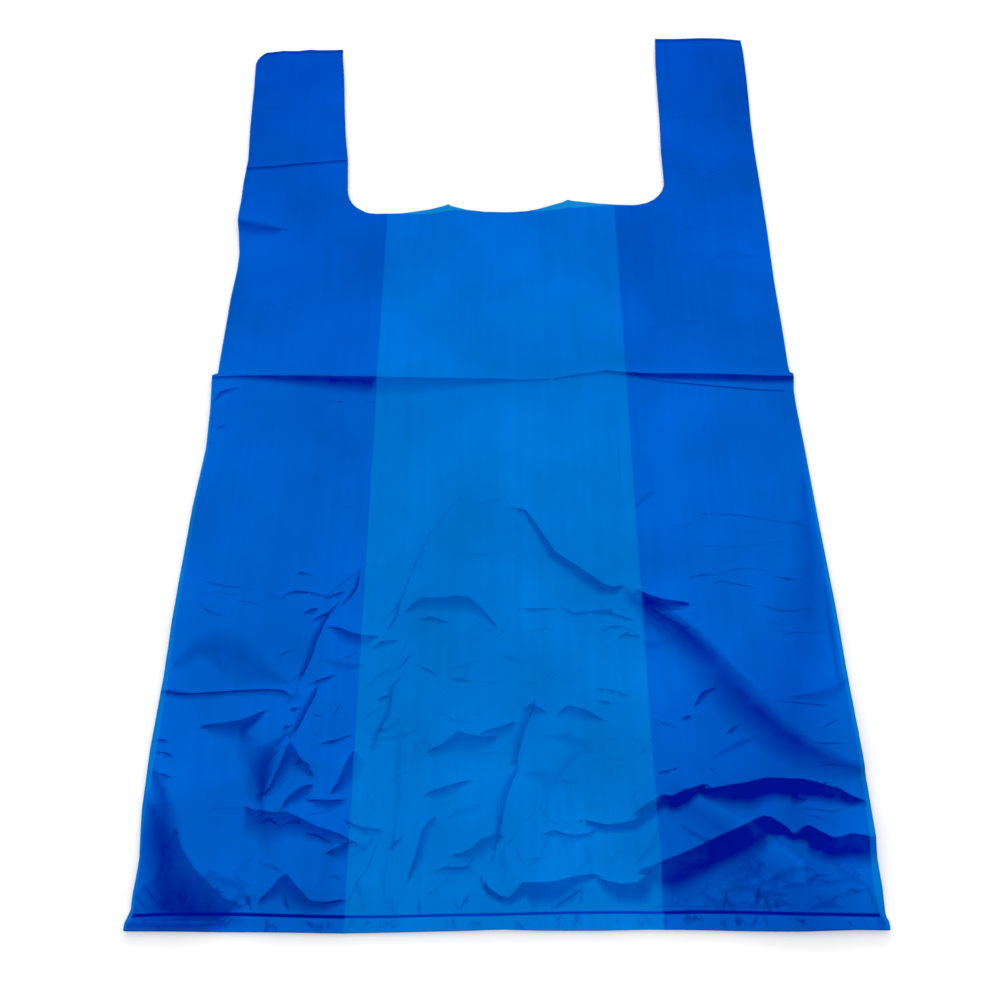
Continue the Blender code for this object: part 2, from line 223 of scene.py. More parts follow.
# The camera that the photo was taken with, fitted to the bag's outline, and the stage.
CAMERA_PLACE = (0.00913, -0.39526, 0.52811)
CAMERA_TURN = (0.03066, 0.55751, -0.03963)
CAMERA_LENS = 45.48
SENSOR_WIDTH = 36.0
TABLE_HALF = 3.0
TABLE_GAP = 0.0004
TABLE_GLOW = 0.12
ROOM_LIGHT = 0.91
WINDOW_SIZE = (1.5, 0.5)
WINDOW_PLACE = (0.1, 1.55, 0.8)
WINDOW_POWER = 7.5
WHITE = (1.0, 1.0, 1.0, 1.0)

# A fold has a near side, on the right of someone who walks along its crest, and a far side. The near side
# is turned away from the light, and its darkness is painted shade. Each kind gives the near side's slope,
# its profile, the far side's width as a multiple of the near side's, its profile, whether its crest is a
# crisp line, how dark the painted shade on its near side is, and over what share of its width that fades
# at the foot.
FoldKind = namedtuple("FoldKind", "slope near far_width far crisp darkness fade")
KINDS = {
    "lens": FoldKind(0.36, "tent", 2.0, "tent", True, 1.00, 0.45),
    "deep": FoldKind(0.12, "tent", 2.0, "tent", True, 0.66, 0.45),
    "tuck": FoldKind(0.32, "tent", 2.4, "tent", True, 0.74, 0.70),
    "roll": FoldKind(0.36, "roll", 2.2, "roll", False, 0.62, 0.60),
    "crease": FoldKind(0.46, "cusp", 1.2, "cusp", True, 0.60, 0.60),
    "line": FoldKind(0.34, "cusp", 1.2, "cusp", True, 0.0, 1.0),
    "pucker": FoldKind(0.34, "cusp", 1.2, "cusp", True, 0.45, 0.80),
    "soft": FoldKind(0.20, "roll", 1.8, "roll", False, 0.32, 0.60),
    "broad": FoldKind(0.02, "roll", 1.0, "roll", False, 0.42, 0.70),
}

# The rise of a fold as a share of its width times its slope, by profile. It makes the steepest part
# of the side as steep as its kind says.
RISE_SHARE = {"tent": 1.0, "cusp": 0.5, "roll": 1 / 1.5}

# Every fold that stands out: its kind, and its crest as points across, along and the width of its
# near side, in mm.
FOLDS = (
    # The packing fold across the middle, and the faint lines of the upper half.
    ("tuck", (-155.5, 11, 1.2), (-138.5, 11.5, 2.2), (-110, 10.5, 5), (-84.5, 8.5, 8), (-60.5, 7.5, 10.5),
     (-27, 7, 7), (9.5, 6, 1.5), (25.5, 6.5, 1.5), (55, 11, 2)),
    ("lens", (55, 11, 2), (72.5, 9, 3), (103.5, 7.5, 4.5), (134.5, 6, 4.5), (151.5, 5.5, 4)),
    ("line", (70.5, 7.5, 1), (82.5, 4.5, 2), (110.5, 0, 2.4), (133.5, -2.5, 2.4), (148.5, -3.5, 2)),
    ("line", (-91.5, -5, 1), (-77.5, -7, 1.6), (-64, -6, 1)),
    ("crease", (-150.5, 166, 1.6), (-133, 167, 2.2), (-118.5, 168.5, 2.2), (-90.5, 171, 1.6)),
    ("roll", (-148.5, 123.5, 9), (-140.5, 121.5, 11), (-132.5, 119, 8.5), (-125, 117, 5),
     (-119.5, 116, 1.2)),
    ("crease", (-150.5, -6.5, 1), (-146, 1.5, 2.5), (-137, 4.5, 1)),
    ("crease", (-147.5, -23.5, 1), (-141.5, -19, 2), (-131, -20, 1)),
    ("line", (56.5, 3, 0.8), (58.5, -26, 1.2), (58.5, -56, 1.2), (55, -85, 0.6)),
    ("line", (53, -7, 0.6), (54.5, -32, 1), (52.5, -62, 0.6)),
    ("soft", (65, -71.5, 1.5), (68.5, -66.5, 4), (74, -63, 1.5)),
    ("line", (95, -76, 1), (111, -77, 1.4), (148.5, -84.5, 1)),
    ("line", (90, -93.5, 0.8), (113.5, -95.5, 1), (138, -92, 0.8)),
    ("line", (90.5, 163.5, 0.8), (116.5, 158.5, 1.4), (147.5, 148, 0.8)),
    ("line", (91.5, 115.5, 0.8), (118, 110, 1.2), (151, 111.5, 0.8)),
    ("line", (90.5, 201.5, 0.8), (120.5, 203.5, 1.1), (150, 196.5, 0.8)),
    ("line", (-149.5, 217, 0.8), (-123, 220, 1.1), (-96, 216.5, 0.8)),
    ("soft", (110.5, 87, 1), (127.5, 93.5, 3.5), (146.5, 89, 2)),
    ("line", (-146, 65, 0.8), (-115, 57.5, 1.3), (-85, 59.5, 0.8)),
    ("line", (74.5, 39, 0.8), (101.5, 44, 1.2), (130.5, 40, 0.8)),
    ("line", (-44.5, 62.5, 0.8), (-17, 65, 1.1), (21, 60, 0.8)),
    # The middle of the lower half, down to the bottom weld.
    ("line", (-18, -62, 0.8), (-28, -75, 1.4), (-35, -86.5, 1.6), (-40.5, -100, 1.8), (-44, -110, 1.8),
     (-46.5, -119, 2), (-50, -126.5, 2.2), (-55.5, -132, 1)),
    ("crease", (-47.5, -122, 1), (-49, -130.5, 2), (-53.5, -139, 1)),
    ("soft", (-14, -71, 1), (-8.5, -67, 2.5), (0.5, -65, 1.5)),
    ("lens", (2.5, -71, 0.8), (11.5, -73.5, 2.2), (18.5, -85.5, 3), (25.5, -98, 4.5), (32, -103, 5.2),
     (39.5, -109, 5.5), (47.5, -115.5, 5.5), (52, -117, 4), (56, -116, 1.5)),
    ("line", (3.5, -100.5, 0.6), (13.5, -96.5, 1), (22, -98.5, 0.6)),
    ("crease", (8, -126.5, 1), (14, -127.5, 1.8), (25, -127, 1)),
    ("crease", (27, -126, 1), (33, -130, 2), (42, -129, 1.8), (51.5, -127.5, 1)),
    ("crease", (43, -130, 1), (50.5, -130, 2), (59, -133, 2), (61, -134, 0.8)),
    ("crease", (45.5, -138.5, 1), (51, -136.5, 2), (56.5, -136.5, 1)),
    ("crease", (53.5, -142, 1), (56.5, -140.5, 2), (62.5, -142, 1.5)),
    ("tuck", (-45.5, -128.5, 1), (-41, -124, 4), (-37.5, -121.5, 6), (-30, -122, 6), (-22, -121, 8),
     (-16, -121.5, 8), (-10.5, -126, 5), (-6, -132, 3), (-2, -137, 1)),
    ("crease", (-39, -132.5, 1), (-33.5, -131, 2.6), (-29, -132.5, 2.2), (-25, -133.5, 1)),
    ("line", (-14.5, -131, 0.8), (-9, -135, 1.5), (-2, -142, 0.8)),
    ("line", (3, -138.5, 0.6), (5, -141, 1.2), (7, -145, 0.6)),
    ("crease", (-60, -147, 1), (-56, -143.5, 3.2), (-47, -142.5, 1)),
    ("line", (-41, -136.5, 0.6), (-46.5, -149, 1.2), (-51.5, -165, 0.8)),
    ("crease", (-41.5, -149, 1), (-44, -153, 2.2), (-46.5, -156.5, 1)),
    ("crease", (-44, -158, 1), (-49.5, -166, 2), (-50.5, -178, 2.2), (-54, -185.5, 2.2), (-58.5, -196, 1)),
    ("crease", (-56, -172, 1), (-53.5, -170.5, 3), (-50.5, -169.5, 1)),
    ("line", (-63.5, -183, 0.8), (-58.5, -178, 1.4), (-52.5, -174, 0.8)),
    ("crease", (-39, -155, 1), (-33.5, -157.5, 1.8), (-30, -160, 1)),
    ("crease", (-24.5, -162, 1), (-18.5, -162.5, 1.8), (-12.5, -163.5, 1)),
    ("line", (-10.5, -163.5, 0.8), (-5.5, -164, 1.2), (-0.5, -164, 0.8)),
    ("line", (9, -164, 0.8), (12, -164, 1.3), (14.5, -164.5, 0.8)),
    ("soft", (18, -162, 1), (21, -159, 3), (24, -163.5, 1)),
    ("crease", (42, -167.5, 1), (48.5, -168.5, 2), (57, -171.5, 1)),
    ("crease", (41, -173.5, 1), (45.5, -174, 2), (50.5, -175, 1)),
    ("soft", (-29, -174, 0.8), (-27, -170.5, 2), (-24, -167, 0.8)),
    ("tuck", (9, -178, 1), (11.5, -175.5, 4), (15, -176.5, 5), (19.5, -178.5, 1)),
    ("tuck", (14.5, -174, 1.5), (12, -180.5, 4), (8.5, -190.5, 4.6), (6, -200.5, 3.2), (5.5, -205.5, 1)),
    ("tuck", (7, -204, 1), (4, -210, 4), (1, -218.5, 4), (-1.5, -231.5, 2.6), (-4.5, -245, 1)),
    ("line", (-2.5, -209, 0.8), (-2.5, -221.5, 1.4), (-2.5, -233, 0.8)),
    ("line", (1.5, -203.5, 0.8), (4, -201.5, 1.4), (6, -200.5, 0.8)),
    ("tuck", (24, -180, 1), (29, -176, 4.5), (34.5, -177.5, 5), (39.5, -180, 4), (44.5, -183, 1)),
    ("tuck", (-9.5, -189, 1), (-3.5, -186.5, 4.5), (2.5, -184.5, 4), (5.5, -183, 1)),
    ("tuck", (-33.5, -197, 1), (-26.5, -193.5, 5), (-19.5, -188, 9), (-13.5, -190, 9), (-6.5, -190.5, 5),
     (-2.5, -190.5, 1)),
    ("soft", (-40.5, -188.5, 0.8), (-39, -184, 2), (-37.5, -180.5, 0.8)),
    ("tuck", (-34, -216, 1), (-30.5, -214.5, 4), (-24.5, -212.5, 5), (-19.5, -211, 3), (-13.5, -209.5, 1)),
    ("soft", (-25, -227, 1), (-20, -221.5, 5), (-14, -220, 6), (-8, -219, 1.5)),
    ("tuck", (-40, -252.5, 1.2), (-36.5, -242, 4), (-34, -231, 4), (-28.5, -225, 1)),
    ("crease", (-49, -239.5, 1), (-45.5, -236.5, 2), (-42, -233.5, 1)),
    ("tuck", (-23, -242.5, 1), (-18, -241.5, 3.2), (-14, -240, 5), (-9, -235.5, 6.5), (-3, -234, 5),
     (0, -234.5, 1)),
    ("crease", (-28.5, -248.5, 1), (-24, -247, 3), (-19, -247.5, 2.8), (-15, -247, 2), (-13.5, -244, 1)),
    ("crease", (15.5, -234, 1), (21.5, -232, 3.2), (25, -233.5, 2.6), (30, -234.5, 2.4), (35.5, -233.5, 2),
     (41, -231, 1)),
    ("lens", (32, -227.5, 1), (37.5, -228.5, 2.6), (43.5, -230, 3.6), (49.5, -229.5, 4), (55, -228.5, 4.5),
     (61.5, -224.5, 4.5), (67, -219.5, 4)),
    ("line", (23, -227, 0.8), (27.5, -229, 1.5), (31, -233, 0.8)),
    ("line", (0, -239.5, 0.8), (3, -236, 1.4), (6, -232, 0.8)),
    ("line", (8.5, -228.5, 0.8), (11.5, -225.5, 1.2), (14, -223, 0.8)),
    ("line", (8, -245.5, 0.8), (12, -244.5, 1.4), (15.5, -244, 0.8)),
    ("lens", (-8.5, -252, 1.2), (-6, -256, 2.6), (-1.5, -259, 2.8), (2.5, -260, 3), (5, -257, 5),
     (8, -254, 8), (12.5, -254.5, 9.5), (21, -254, 9), (29.5, -251.5, 5), (37.5, -250.5, 2), (40, -251, 1)),
    ("lens", (38, -252, 1), (43, -253.5, 5), (48.5, -255, 8), (55, -254.5, 9), (59.5, -251, 5),
     (63, -248.5, 1.2)),
    ("crease", (20, -264, 1), (25.5, -260.5, 3), (33, -255.5, 1.5)),
    ("line", (-31.5, -258.5, 0.8), (-29, -256.5, 1.6), (-26, -255, 0.8)),
    ("crease", (-10, -252.5, 1), (-7.5, -256, 2), (-5.5, -258.5, 1.5), (-1.5, -261, 1)),
    ("crease", (-68, -226.5, 1), (-64.5, -228, 2.4), (-60, -230, 3.2), (-52.5, -231, 2.2)),
    ("crease", (-67, -234, 0.8), (-63, -236, 1.8), (-58, -239, 0.8)),
    ("line", (-52, -233.5, 1), (-54, -239.5, 1.5), (-56.5, -246.5, 1.5), (-60.5, -253, 1.5),
     (-63.5, -259.5, 1.4), (-63.5, -264, 0.8)),
    ("soft", (-43.5, -181.5, 2), (-44, -200, 4), (-43.5, -218, 4), (-45.5, -235, 2)),
    ("soft", (-47.5, -242.5, 2), (-48.5, -252, 3.5), (-48, -261, 2)),
    ("line", (-55, -190.5, 0.8), (-56.5, -195, 1.6), (-58.5, -200, 0.8)),
    ("soft", (42.5, -192.5, 2), (31, -203, 6), (22.5, -214.5, 7), (19, -223.5, 2)),
    ("line", (53.5, -220, 0.8), (57, -215.5, 1.4), (61.5, -212.5, 0.8)),
    ("line", (41, -190.5, 0.6), (45, -191.5, 1.1), (50.5, -191, 0.6)),
    ("line", (38, -199.5, 0.6), (43, -201, 1.1), (50, -199.5, 0.6)),
    ("line", (46.5, -206, 0.6), (50, -203.5, 1.1), (56.5, -206, 0.6)),
    ("line", (54.5, -185.5, 0.8), (57.5, -191.5, 1.4), (62.5, -196.5, 0.8)),
    # The left side of the lower half.
    ("line", (-142, -111, 0.8), (-136, -113, 1.4), (-130.5, -114.5, 1.4), (-117, -117, 0.8)),
    ("line", (-140.5, -118, 0.8), (-133.5, -117.5, 1.1), (-123.5, -120.5, 0.8)),
    ("line", (-124, -123, 0.8), (-118.5, -124, 1.3), (-112, -125, 0.8)),
    ("line", (-111.5, -119.5, 0.8), (-105.5, -120.5, 1.3), (-99.5, -122, 0.8)),
    ("line", (-142.5, -122.5, 0.8), (-137.5, -127.5, 1.5), (-133, -130, 1.5), (-126.5, -132, 0.8)),
    ("crease", (-102, -119, 1), (-97, -117, 2), (-91, -117.5, 1.8), (-84, -119, 1)),
    ("crease", (-99, -108, 0.8), (-95.5, -106.5, 1.8), (-89.5, -108.5, 0.8)),
    ("crease", (-83.5, -121, 1), (-78, -118, 2), (-74, -116.5, 1)),
    ("crease", (-92.5, -129, 1), (-90, -127, 3), (-86, -125.5, 1.2)),
    ("crease", (-88, -132, 1), (-84.5, -129.5, 2.8), (-81, -128, 2), (-77, -122.5, 1)),
    ("line", (-83.5, -119.5, 0.8), (-77, -113.5, 1.3), (-71.5, -108.5, 1.3), (-63.5, -101.5, 0.8)),
    ("crease", (-67.5, -105.5, 1), (-68.5, -114.5, 2.4), (-71.5, -120, 2), (-75, -124, 1)),
    ("tuck", (-80, -126.5, 1), (-83, -134, 3), (-85.5, -142, 4.2), (-87, -149.5, 4.2), (-89.5, -156.5, 3),
     (-92, -162, 1)),
    ("line", (-96, -163, 0.8), (-94, -160, 1.4), (-91, -157.5, 0.8)),
    ("tuck", (-80.5, -135.5, 1), (-75, -136.5, 4.5), (-69.5, -139, 6), (-63.5, -140.5, 6),
     (-57.5, -140.5, 1)),
    ("soft", (-82.5, -151.5, 1), (-76.5, -152, 4.5), (-69.5, -153.5, 5.5), (-64, -154, 2)),
    ("soft", (-148, -149, 8), (-143, -140.5, 16), (-133, -136, 28), (-124, -136.5, 32), (-115, -141.5, 28),
     (-106, -152.5, 18), (-97.5, -162, 3)),
    ("soft", (11, -206, 3), (16, -204.5, 8), (23, -206.5, 10), (27, -209.5, 4)),
    ("soft", (20, -189, 3), (28, -187, 9), (35.5, -191, 8), (39, -195.5, 3)),
    ("crease", (-153, -166.5, 2.2), (-146.5, -168, 2.6), (-140.5, -168, 2.8), (-130, -167.5, 2.8),
     (-121, -167, 2.8), (-111.5, -166.5, 2.8), (-106, -166.5, 3.2), (-98.5, -167.5, 3.4),
     (-95, -170.5, 1.2)),
    ("line", (-155, -167, 1.2), (-149.5, -166, 1.4), (-143, -166.5, 0.8)),
    ("soft", (-98.5, -174, 2), (-94, -168.5, 5), (-93, -165.5, 1)),
    ("crease", (-87.5, -164, 1), (-83, -162, 2.4), (-80, -161, 2.2), (-76.5, -159.5, 1)),
    ("tuck", (-83.5, -165, 1), (-84.5, -171, 3.4), (-87, -178, 4.2), (-89.5, -185, 3.6), (-92, -190, 1.2)),
    ("crease", (-94.5, -178, 0.8), (-93.5, -176.5, 2.8), (-90.5, -176.5, 0.8)),
    ("crease", (-97, -187, 0.8), (-95, -185, 2.8), (-93.5, -186, 0.8)),
    ("line", (-85, -179, 0.8), (-83, -180, 1.6), (-79.5, -181, 0.8)),
    ("tuck", (-134.5, -183.5, 1), (-128.5, -183, 4.5), (-122.5, -182.5, 7), (-116.5, -182, 8),
     (-111.5, -180, 5), (-106, -177.5, 1.5), (-103.5, -176, 0.8)),
    ("broad", (-103, -225, 3), (-110.5, -215, 16), (-115.5, -203.5, 20), (-118.5, -193.5, 16),
     (-117, -184, 8), (-107.5, -179.5, 2)),
    ("broad", (-152.5, -215, 5), (-143, -225.5, 18), (-135, -237, 30), (-130, -246, 38), (-121, -256.5, 34),
     (-111, -263.5, 10)),
    ("broad", (62.5, -121, 8), (77, -129.5, 15), (91, -141, 15), (103, -156, 12), (115, -171, 6)),
    ("roll", (-94, -191, 4), (-95.5, -197, 15), (-98, -206, 14), (-101, -215.5, 6)),
    ("tuck", (-102, -217, 1), (-99.5, -213.5, 3), (-96.5, -205.5, 6), (-94, -197.5, 9), (-92.5, -193, 13),
     (-88.5, -199.5, 9), (-84, -205, 5), (-81.5, -208.5, 1)),
    ("line", (-103.5, -203.5, 0.8), (-99.5, -199.5, 1.6), (-95.5, -196, 0.8)),
    ("crease", (-89.5, -204.5, 1), (-87, -201.5, 3.4), (-83, -204.5, 1.2)),
    ("tuck", (-93.5, -222.5, 1), (-92, -219, 4), (-89, -215.5, 6), (-85.5, -213, 5.5), (-81.5, -212, 1)),
    ("tuck", (-83.5, -218.5, 1), (-79.5, -218.5, 4), (-74, -218.5, 5), (-70, -218, 3)),
    ("line", (-83, -225.5, 0.8), (-78, -224, 1.5), (-72, -222.5, 0.8)),
    ("tuck", (-74, -215.5, 1), (-71.5, -211, 5), (-69.5, -205.5, 8), (-66.5, -198.5, 8), (-65.5, -196, 2)),
    ("crease", (-82, -193.5, 0.8), (-76, -191.5, 2), (-66.5, -188, 1)),
    ("tuck", (-109.5, -221.5, 2), (-105, -223.5, 10), (-98, -225, 13), (-92, -224, 12), (-86, -226.5, 9),
     (-79, -230, 7), (-73, -232, 6), (-67, -234.5, 3)),
    ("crease", (-102.5, -229.5, 1), (-98.5, -227.5, 2.6), (-93, -231, 1)),
    ("crease", (-92.5, -229.5, 1), (-88, -228, 2.6), (-84, -230, 1)),
    ("crease", (-83.5, -233, 1), (-78.5, -234, 2.6), (-72, -237, 1)),
    ("tuck", (-74.5, -241.5, 1), (-71, -239.5, 4.5), (-67.5, -237.5, 6.5), (-64, -236.5, 2)),
    ("soft", (-72.5, -250, 1), (-69.5, -249, 3.5), (-66, -251.5, 1)),
    ("roll", (-150.5, -204.5, 4), (-144, -212, 10), (-138.5, -221.5, 17), (-134.5, -231.5, 22),
     (-131.5, -240, 23), (-127.5, -247, 16)),
    ("deep", (-137, -232.5, 3), (-134.5, -238.5, 14), (-131, -244, 26), (-127, -249, 31),
     (-121.5, -254, 25), (-115, -259, 15), (-110, -261, 3)),
    ("roll", (-154.5, -267, 7), (-144.5, -267, 7), (-128, -267.5, 7), (-118, -267.5, 6), (-112, -267, 1.5)),
    ("soft", (-122, -251, 2), (-117, -250.5, 6), (-111.5, -251.5, 6), (-107.5, -255, 2)),
    ("soft", (-110.5, -258, 2), (-106, -256.5, 5), (-101.5, -258, 2)),
    ("tuck", (-100.5, -260, 2), (-95.5, -255, 7), (-93, -252, 10), (-89.5, -250, 14), (-86.5, -253.5, 11),
     (-80, -260, 6), (-73.5, -261, 4), (-66.5, -260, 2)),
    ("crease", (-153.5, -189.5, 1), (-150.5, -189.5, 2), (-148, -190, 1)),
    ("crease", (-152.5, -195, 1), (-148.5, -195.5, 2), (-144, -197.5, 1)),
    ("crease", (-151.5, -205, 1), (-147.5, -206, 2), (-143.5, -207.5, 1)),
    ("line", (-151.5, -220.5, 0.8), (-147, -219.5, 1.4), (-141.5, -220, 0.8)),
    ("line", (-152.5, -223, 0.8), (-149, -222, 1.4), (-144.5, -222, 0.8)),
    ("line", (-123.5, -222, 0.8), (-117.5, -222, 1.1), (-111.5, -221.5, 0.8)),
    ("line", (-153, -256, 0.8), (-149.5, -260.5, 1.6), (-146, -264, 0.8)),
    ("line", (-150, -252.5, 0.8), (-145, -258, 1.6), (-139.5, -263, 0.8)),
    ("line", (-143.5, -253.5, 0.8), (-138, -259, 1.4), (-133, -263, 0.8)),
    # The right side of the lower half.
    ("line", (87.5, -112.5, 1), (94, -111, 1.8), (100.5, -110.5, 1)),
    ("line", (98, -117, 0.8), (102, -114, 1.6), (109, -115.5, 1.6), (121.5, -118, 0.8)),
    ("line", (102, -110, 0.8), (109, -107.5, 1.2), (117, -107, 1.2), (127.5, -108.5, 0.8)),
    ("line", (128, -111.5, 1), (134, -113.5, 1.8), (142.5, -114, 1)),
    ("line", (117.5, -127, 0.8), (123.5, -128, 1.4), (128.5, -130, 1.5), (135.5, -130, 1.4),
     (143, -128.5, 0.8)),
    ("line", (120.5, -136.5, 0.8), (125.5, -136.5, 1.2), (130.5, -137.5, 0.8)),
    ("line", (128.5, -143.5, 0.8), (133, -141.5, 1.4), (145.5, -141.5, 0.8)),
    ("lens", (63.5, -119, 1.5), (69, -123.5, 6), (74.5, -126, 6), (80.5, -127, 4), (86.5, -127.5, 1)),
    ("line", (66, -125.5, 0.8), (71, -131, 1.6), (76, -135, 1.6), (82.5, -139, 1.6), (90.5, -143, 0.8)),
    ("line", (66, -129, 0.8), (70.5, -133.5, 1.4), (78, -142.5, 0.8)),
    ("line", (69, -124, 0.8), (77, -131, 1.4), (86.5, -139, 0.8)),
    ("line", (65.5, -133, 0.8), (69, -136, 1.4), (74, -141.5, 0.8)),
    ("roll", (64.5, -121.5, 8), (71, -125.5, 15), (79.5, -131.5, 17), (86, -136.5, 18), (93, -144, 20),
     (99, -152.5, 21), (104, -159.5, 21), (111.5, -169, 21), (118.5, -178, 20), (125.5, -186, 19),
     (134.5, -193.5, 17.5), (143.5, -199.5, 15), (150.5, -203, 12), (156.5, -205, 6)),
    ("crease", (85, -176.5, 1), (87, -173.5, 2.6), (89.5, -170.5, 3), (95, -168.5, 1.5)),
    ("crease", (79, -182.5, 1), (81.5, -181.5, 2.6), (83.5, -181, 1)),
    ("line", (66.5, -182, 0.8), (70.5, -184.5, 1.6), (76.5, -186.5, 0.8)),
    ("soft", (63, -143.5, 2), (68.5, -144.5, 6), (74, -144, 3)),
    ("crease", (97, -191, 0.8), (99.5, -188.5, 1.8), (102.5, -186.5, 0.8)),
    ("soft", (91.5, -200, 1.5), (100.5, -193.5, 5), (110, -191.5, 2)),
    ("line", (119.5, -176.5, 0.8), (129.5, -177.5, 1.6), (138.5, -178, 1.6), (146.5, -179, 0.8)),
    ("soft", (129, -174, 2), (137.5, -171.5, 7), (145.5, -168, 9), (152.5, -164.5, 4)),
    ("line", (137, -191, 0.8), (142, -187.5, 1.6), (147.5, -184.5, 0.8)),
    ("line", (124.5, -192.5, 0.8), (128, -192.5, 1.2), (131, -193, 0.8)),
    ("line", (133, -195.5, 0.8), (139, -196.5, 1.8), (150, -196, 1)),
    ("line", (133.5, -206, 0.8), (141, -205.5, 1.6), (150.5, -206.5, 0.8)),
    ("soft", (151.5, -119, 2), (151.5, -139.5, 3), (151, -164.5, 2)),
    ("lens", (55.5, -225.5, 1), (61.5, -221.5, 4), (68, -218, 7), (71.5, -218.5, 8), (78, -215.5, 7),
     (84, -214, 4), (87.5, -213.5, 1)),
    ("lens", (81.5, -215, 1.5), (87.5, -215.5, 6), (93.5, -215, 9.5), (103, -214, 12.5),
     (108.5, -212.5, 11), (112.5, -211.5, 10), (121, -211.5, 9.5), (127.5, -212, 9.5), (134.5, -213.5, 8.5),
     (142, -216, 8), (147, -219.5, 6), (152.5, -221.5, 2)),
    ("line", (53, -227.5, 0.8), (58, -224.5, 1.5), (63.5, -222.5, 0.8)),
    ("lens", (56.5, -249.5, 2), (59.5, -248.5, 8), (66, -246.5, 16), (74, -243.5, 16), (83, -239.5, 14),
     (90.5, -236, 13.5), (98, -233, 13.5), (105.5, -229.5, 13), (109, -228, 12), (112, -228.5, 10.5),
     (115, -230, 8.5), (118.5, -232, 5.5), (121.5, -235.5, 3), (125.5, -232.5, 9), (127.5, -232, 11.5),
     (131.5, -234.5, 11.5), (137, -237.5, 11), (141, -237, 12), (144.5, -236, 14), (151.5, -237, 12),
     (154.5, -237, 9)),
    ("crease", (122, -217.5, 1), (124.5, -220, 3), (127.5, -221, 1)),
    ("line", (128, -219.5, 0.8), (131.5, -218, 1.6), (135.5, -220.5, 0.8)),
    ("line", (124.5, -224.5, 0.8), (131, -225, 1.5), (138, -226, 1.5), (145, -225, 0.8)),
    ("line", (126.5, -227.5, 0.8), (131.5, -228.5, 1.5), (138.5, -231, 0.8)),
    ("line", (142.5, -220.5, 0.8), (146.5, -222.5, 1.3), (151.5, -221.5, 0.8)),
    ("crease", (66.5, -207, 0.8), (71, -206.5, 1.6), (75.5, -205, 0.8)),
    ("line", (88.5, -204.5, 0.8), (90, -206.5, 1.5), (91.5, -209.5, 0.8)),
    ("soft", (83, -255, 1.5), (90.5, -250, 6), (99, -246, 7), (106.5, -246, 3)),
    ("soft", (106.5, -255, 1.5), (112.5, -250, 6), (118.5, -247.5, 6), (125, -248.5, 2)),
    ("soft", (89.5, -257, 2), (96.5, -255, 5), (104, -255, 2)),
    ("line", (123.5, -254, 0.8), (129, -252.5, 1.8), (135.5, -252, 0.8)),
    ("soft", (137.5, -248, 2), (143, -250.5, 6), (149, -256, 2)),
    ("soft", (87, -261, 2), (91, -259.5, 6), (95.5, -263, 2)),
    ("soft", (97, -263.5, 2), (101.5, -261.5, 5.5), (106, -263.5, 2)),
    ("soft", (108, -263.5, 2), (113, -260, 5.5), (117.5, -263, 2)),
    ("soft", (125.5, -264, 2), (131.5, -261, 5.5), (137, -263.5, 2)),
    ("line", (140.5, -260.5, 0.8), (145, -258.5, 1.5), (149.5, -257.5, 0.8)),
    ("soft", (65.5, -263.5, 2), (70.5, -260.5, 5.5), (76, -263, 2)),
    ("soft", (76, -264, 2), (80, -262, 5), (83.5, -263.5, 2)),
    # Broad soft shades.
    ("broad", (149.5, -51.5, 1), (152, -103, 18), (154, -140, 42), (154, -174.5, 85), (153, -220, 95),
     (151, -262.5, 90)),
    ("broad", (-126, 11.5, 2), (-106, 11, 8), (-85, 10.5, 13), (-64.5, 10, 17), (-63.5, 9, 3)),
    ("broad", (84, -219, 20), (108, -232.5, 40), (134.5, -253.5, 40), (153.5, -261.5, 30)),
)

# Small chance creases by zone: their kind, the zone's box (left, low, right, high), their number, the
# ranges of their length and width, and their heading and its spread in degrees from straight across.
CRUMPLES = (
    ("pucker", (-151, -264, 151, -258), 28, (4, 9), (1.2, 2.4), 72, 22),
    ("soft", (66, -260, 150, -232), 26, (8, 18), (3.0, 6.5), 35, 35),
    ("soft", (-62, -260, 62, -236), 22, (7, 16), (2.5, 5.5), 50, 35),
    ("soft", (-146, -262, -66, -246), 12, (6, 12), (2.5, 4.5), 50, 35),
    ("line", (70, -262, 150, -238), 10, (6, 14), (0.8, 1.5), 35, 30),
    ("line", (-62, -262, 62, -238), 10, (6, 14), (0.8, 1.5), 60, 30),
    ("soft", (-62, -236, 62, -150), 16, (8, 22), (2.0, 4.5), 62, 50),
    ("line", (-62, -240, 62, -90), 26, (7, 20), (0.7, 1.6), 60, 60),
    ("line", (20, -200, 64, -110), 16, (8, 18), (0.6, 1.2), 0, 18),
    ("line", (-104, -200, -66, -120), 12, (7, 16), (0.8, 1.8), 55, 25),
    ("line", (66, -160, 150, -60), 18, (10, 26), (0.5, 1.1), 0, 20),
    ("line", (-150, -120, -66, -20), 14, (10, 26), (0.5, 1.0), 0, 20),
    ("line", (-60, -90, 60, 120), 16, (8, 26), (0.4, 0.9), 70, 70),
    ("line", (-148, 0, 148, 120), 20, (10, 34), (0.4, 0.9), 0, 30),
    ("line", (-148, 120, -100, 270), 8, (8, 26), (0.4, 0.9), 0, 25),
    ("line", (100, 120, 150, 275), 8, (8, 26), (0.4, 0.9), 0, 25),
    ("pucker", (-154, -271.5, 154, -267.5), 90, (3, 6), (0.9, 1.9), 78, 30),
)

# Broad waves of the loose film: height in mm, wavelength across and along in mm, and phase.
WAVES = (
    (0.30, 92, 260, 0.4), (0.26, -140, 120, 2.1), (0.22, 71, -96, 4.0), (0.18, 54, 210, 1.2),
    (0.16, -64, 58, 5.2), (0.12, 41, -47, 3.3), (0.10, 33, 90, 0.9), (0.08, -29, 36, 2.6),
)


def colour_property(name, description, default):
    """A colour that a user can set."""
    return FloatVectorProperty(
        name=name, description=description, default=default, subtype="COLOR", size=3, min=0.0, max=1.0)


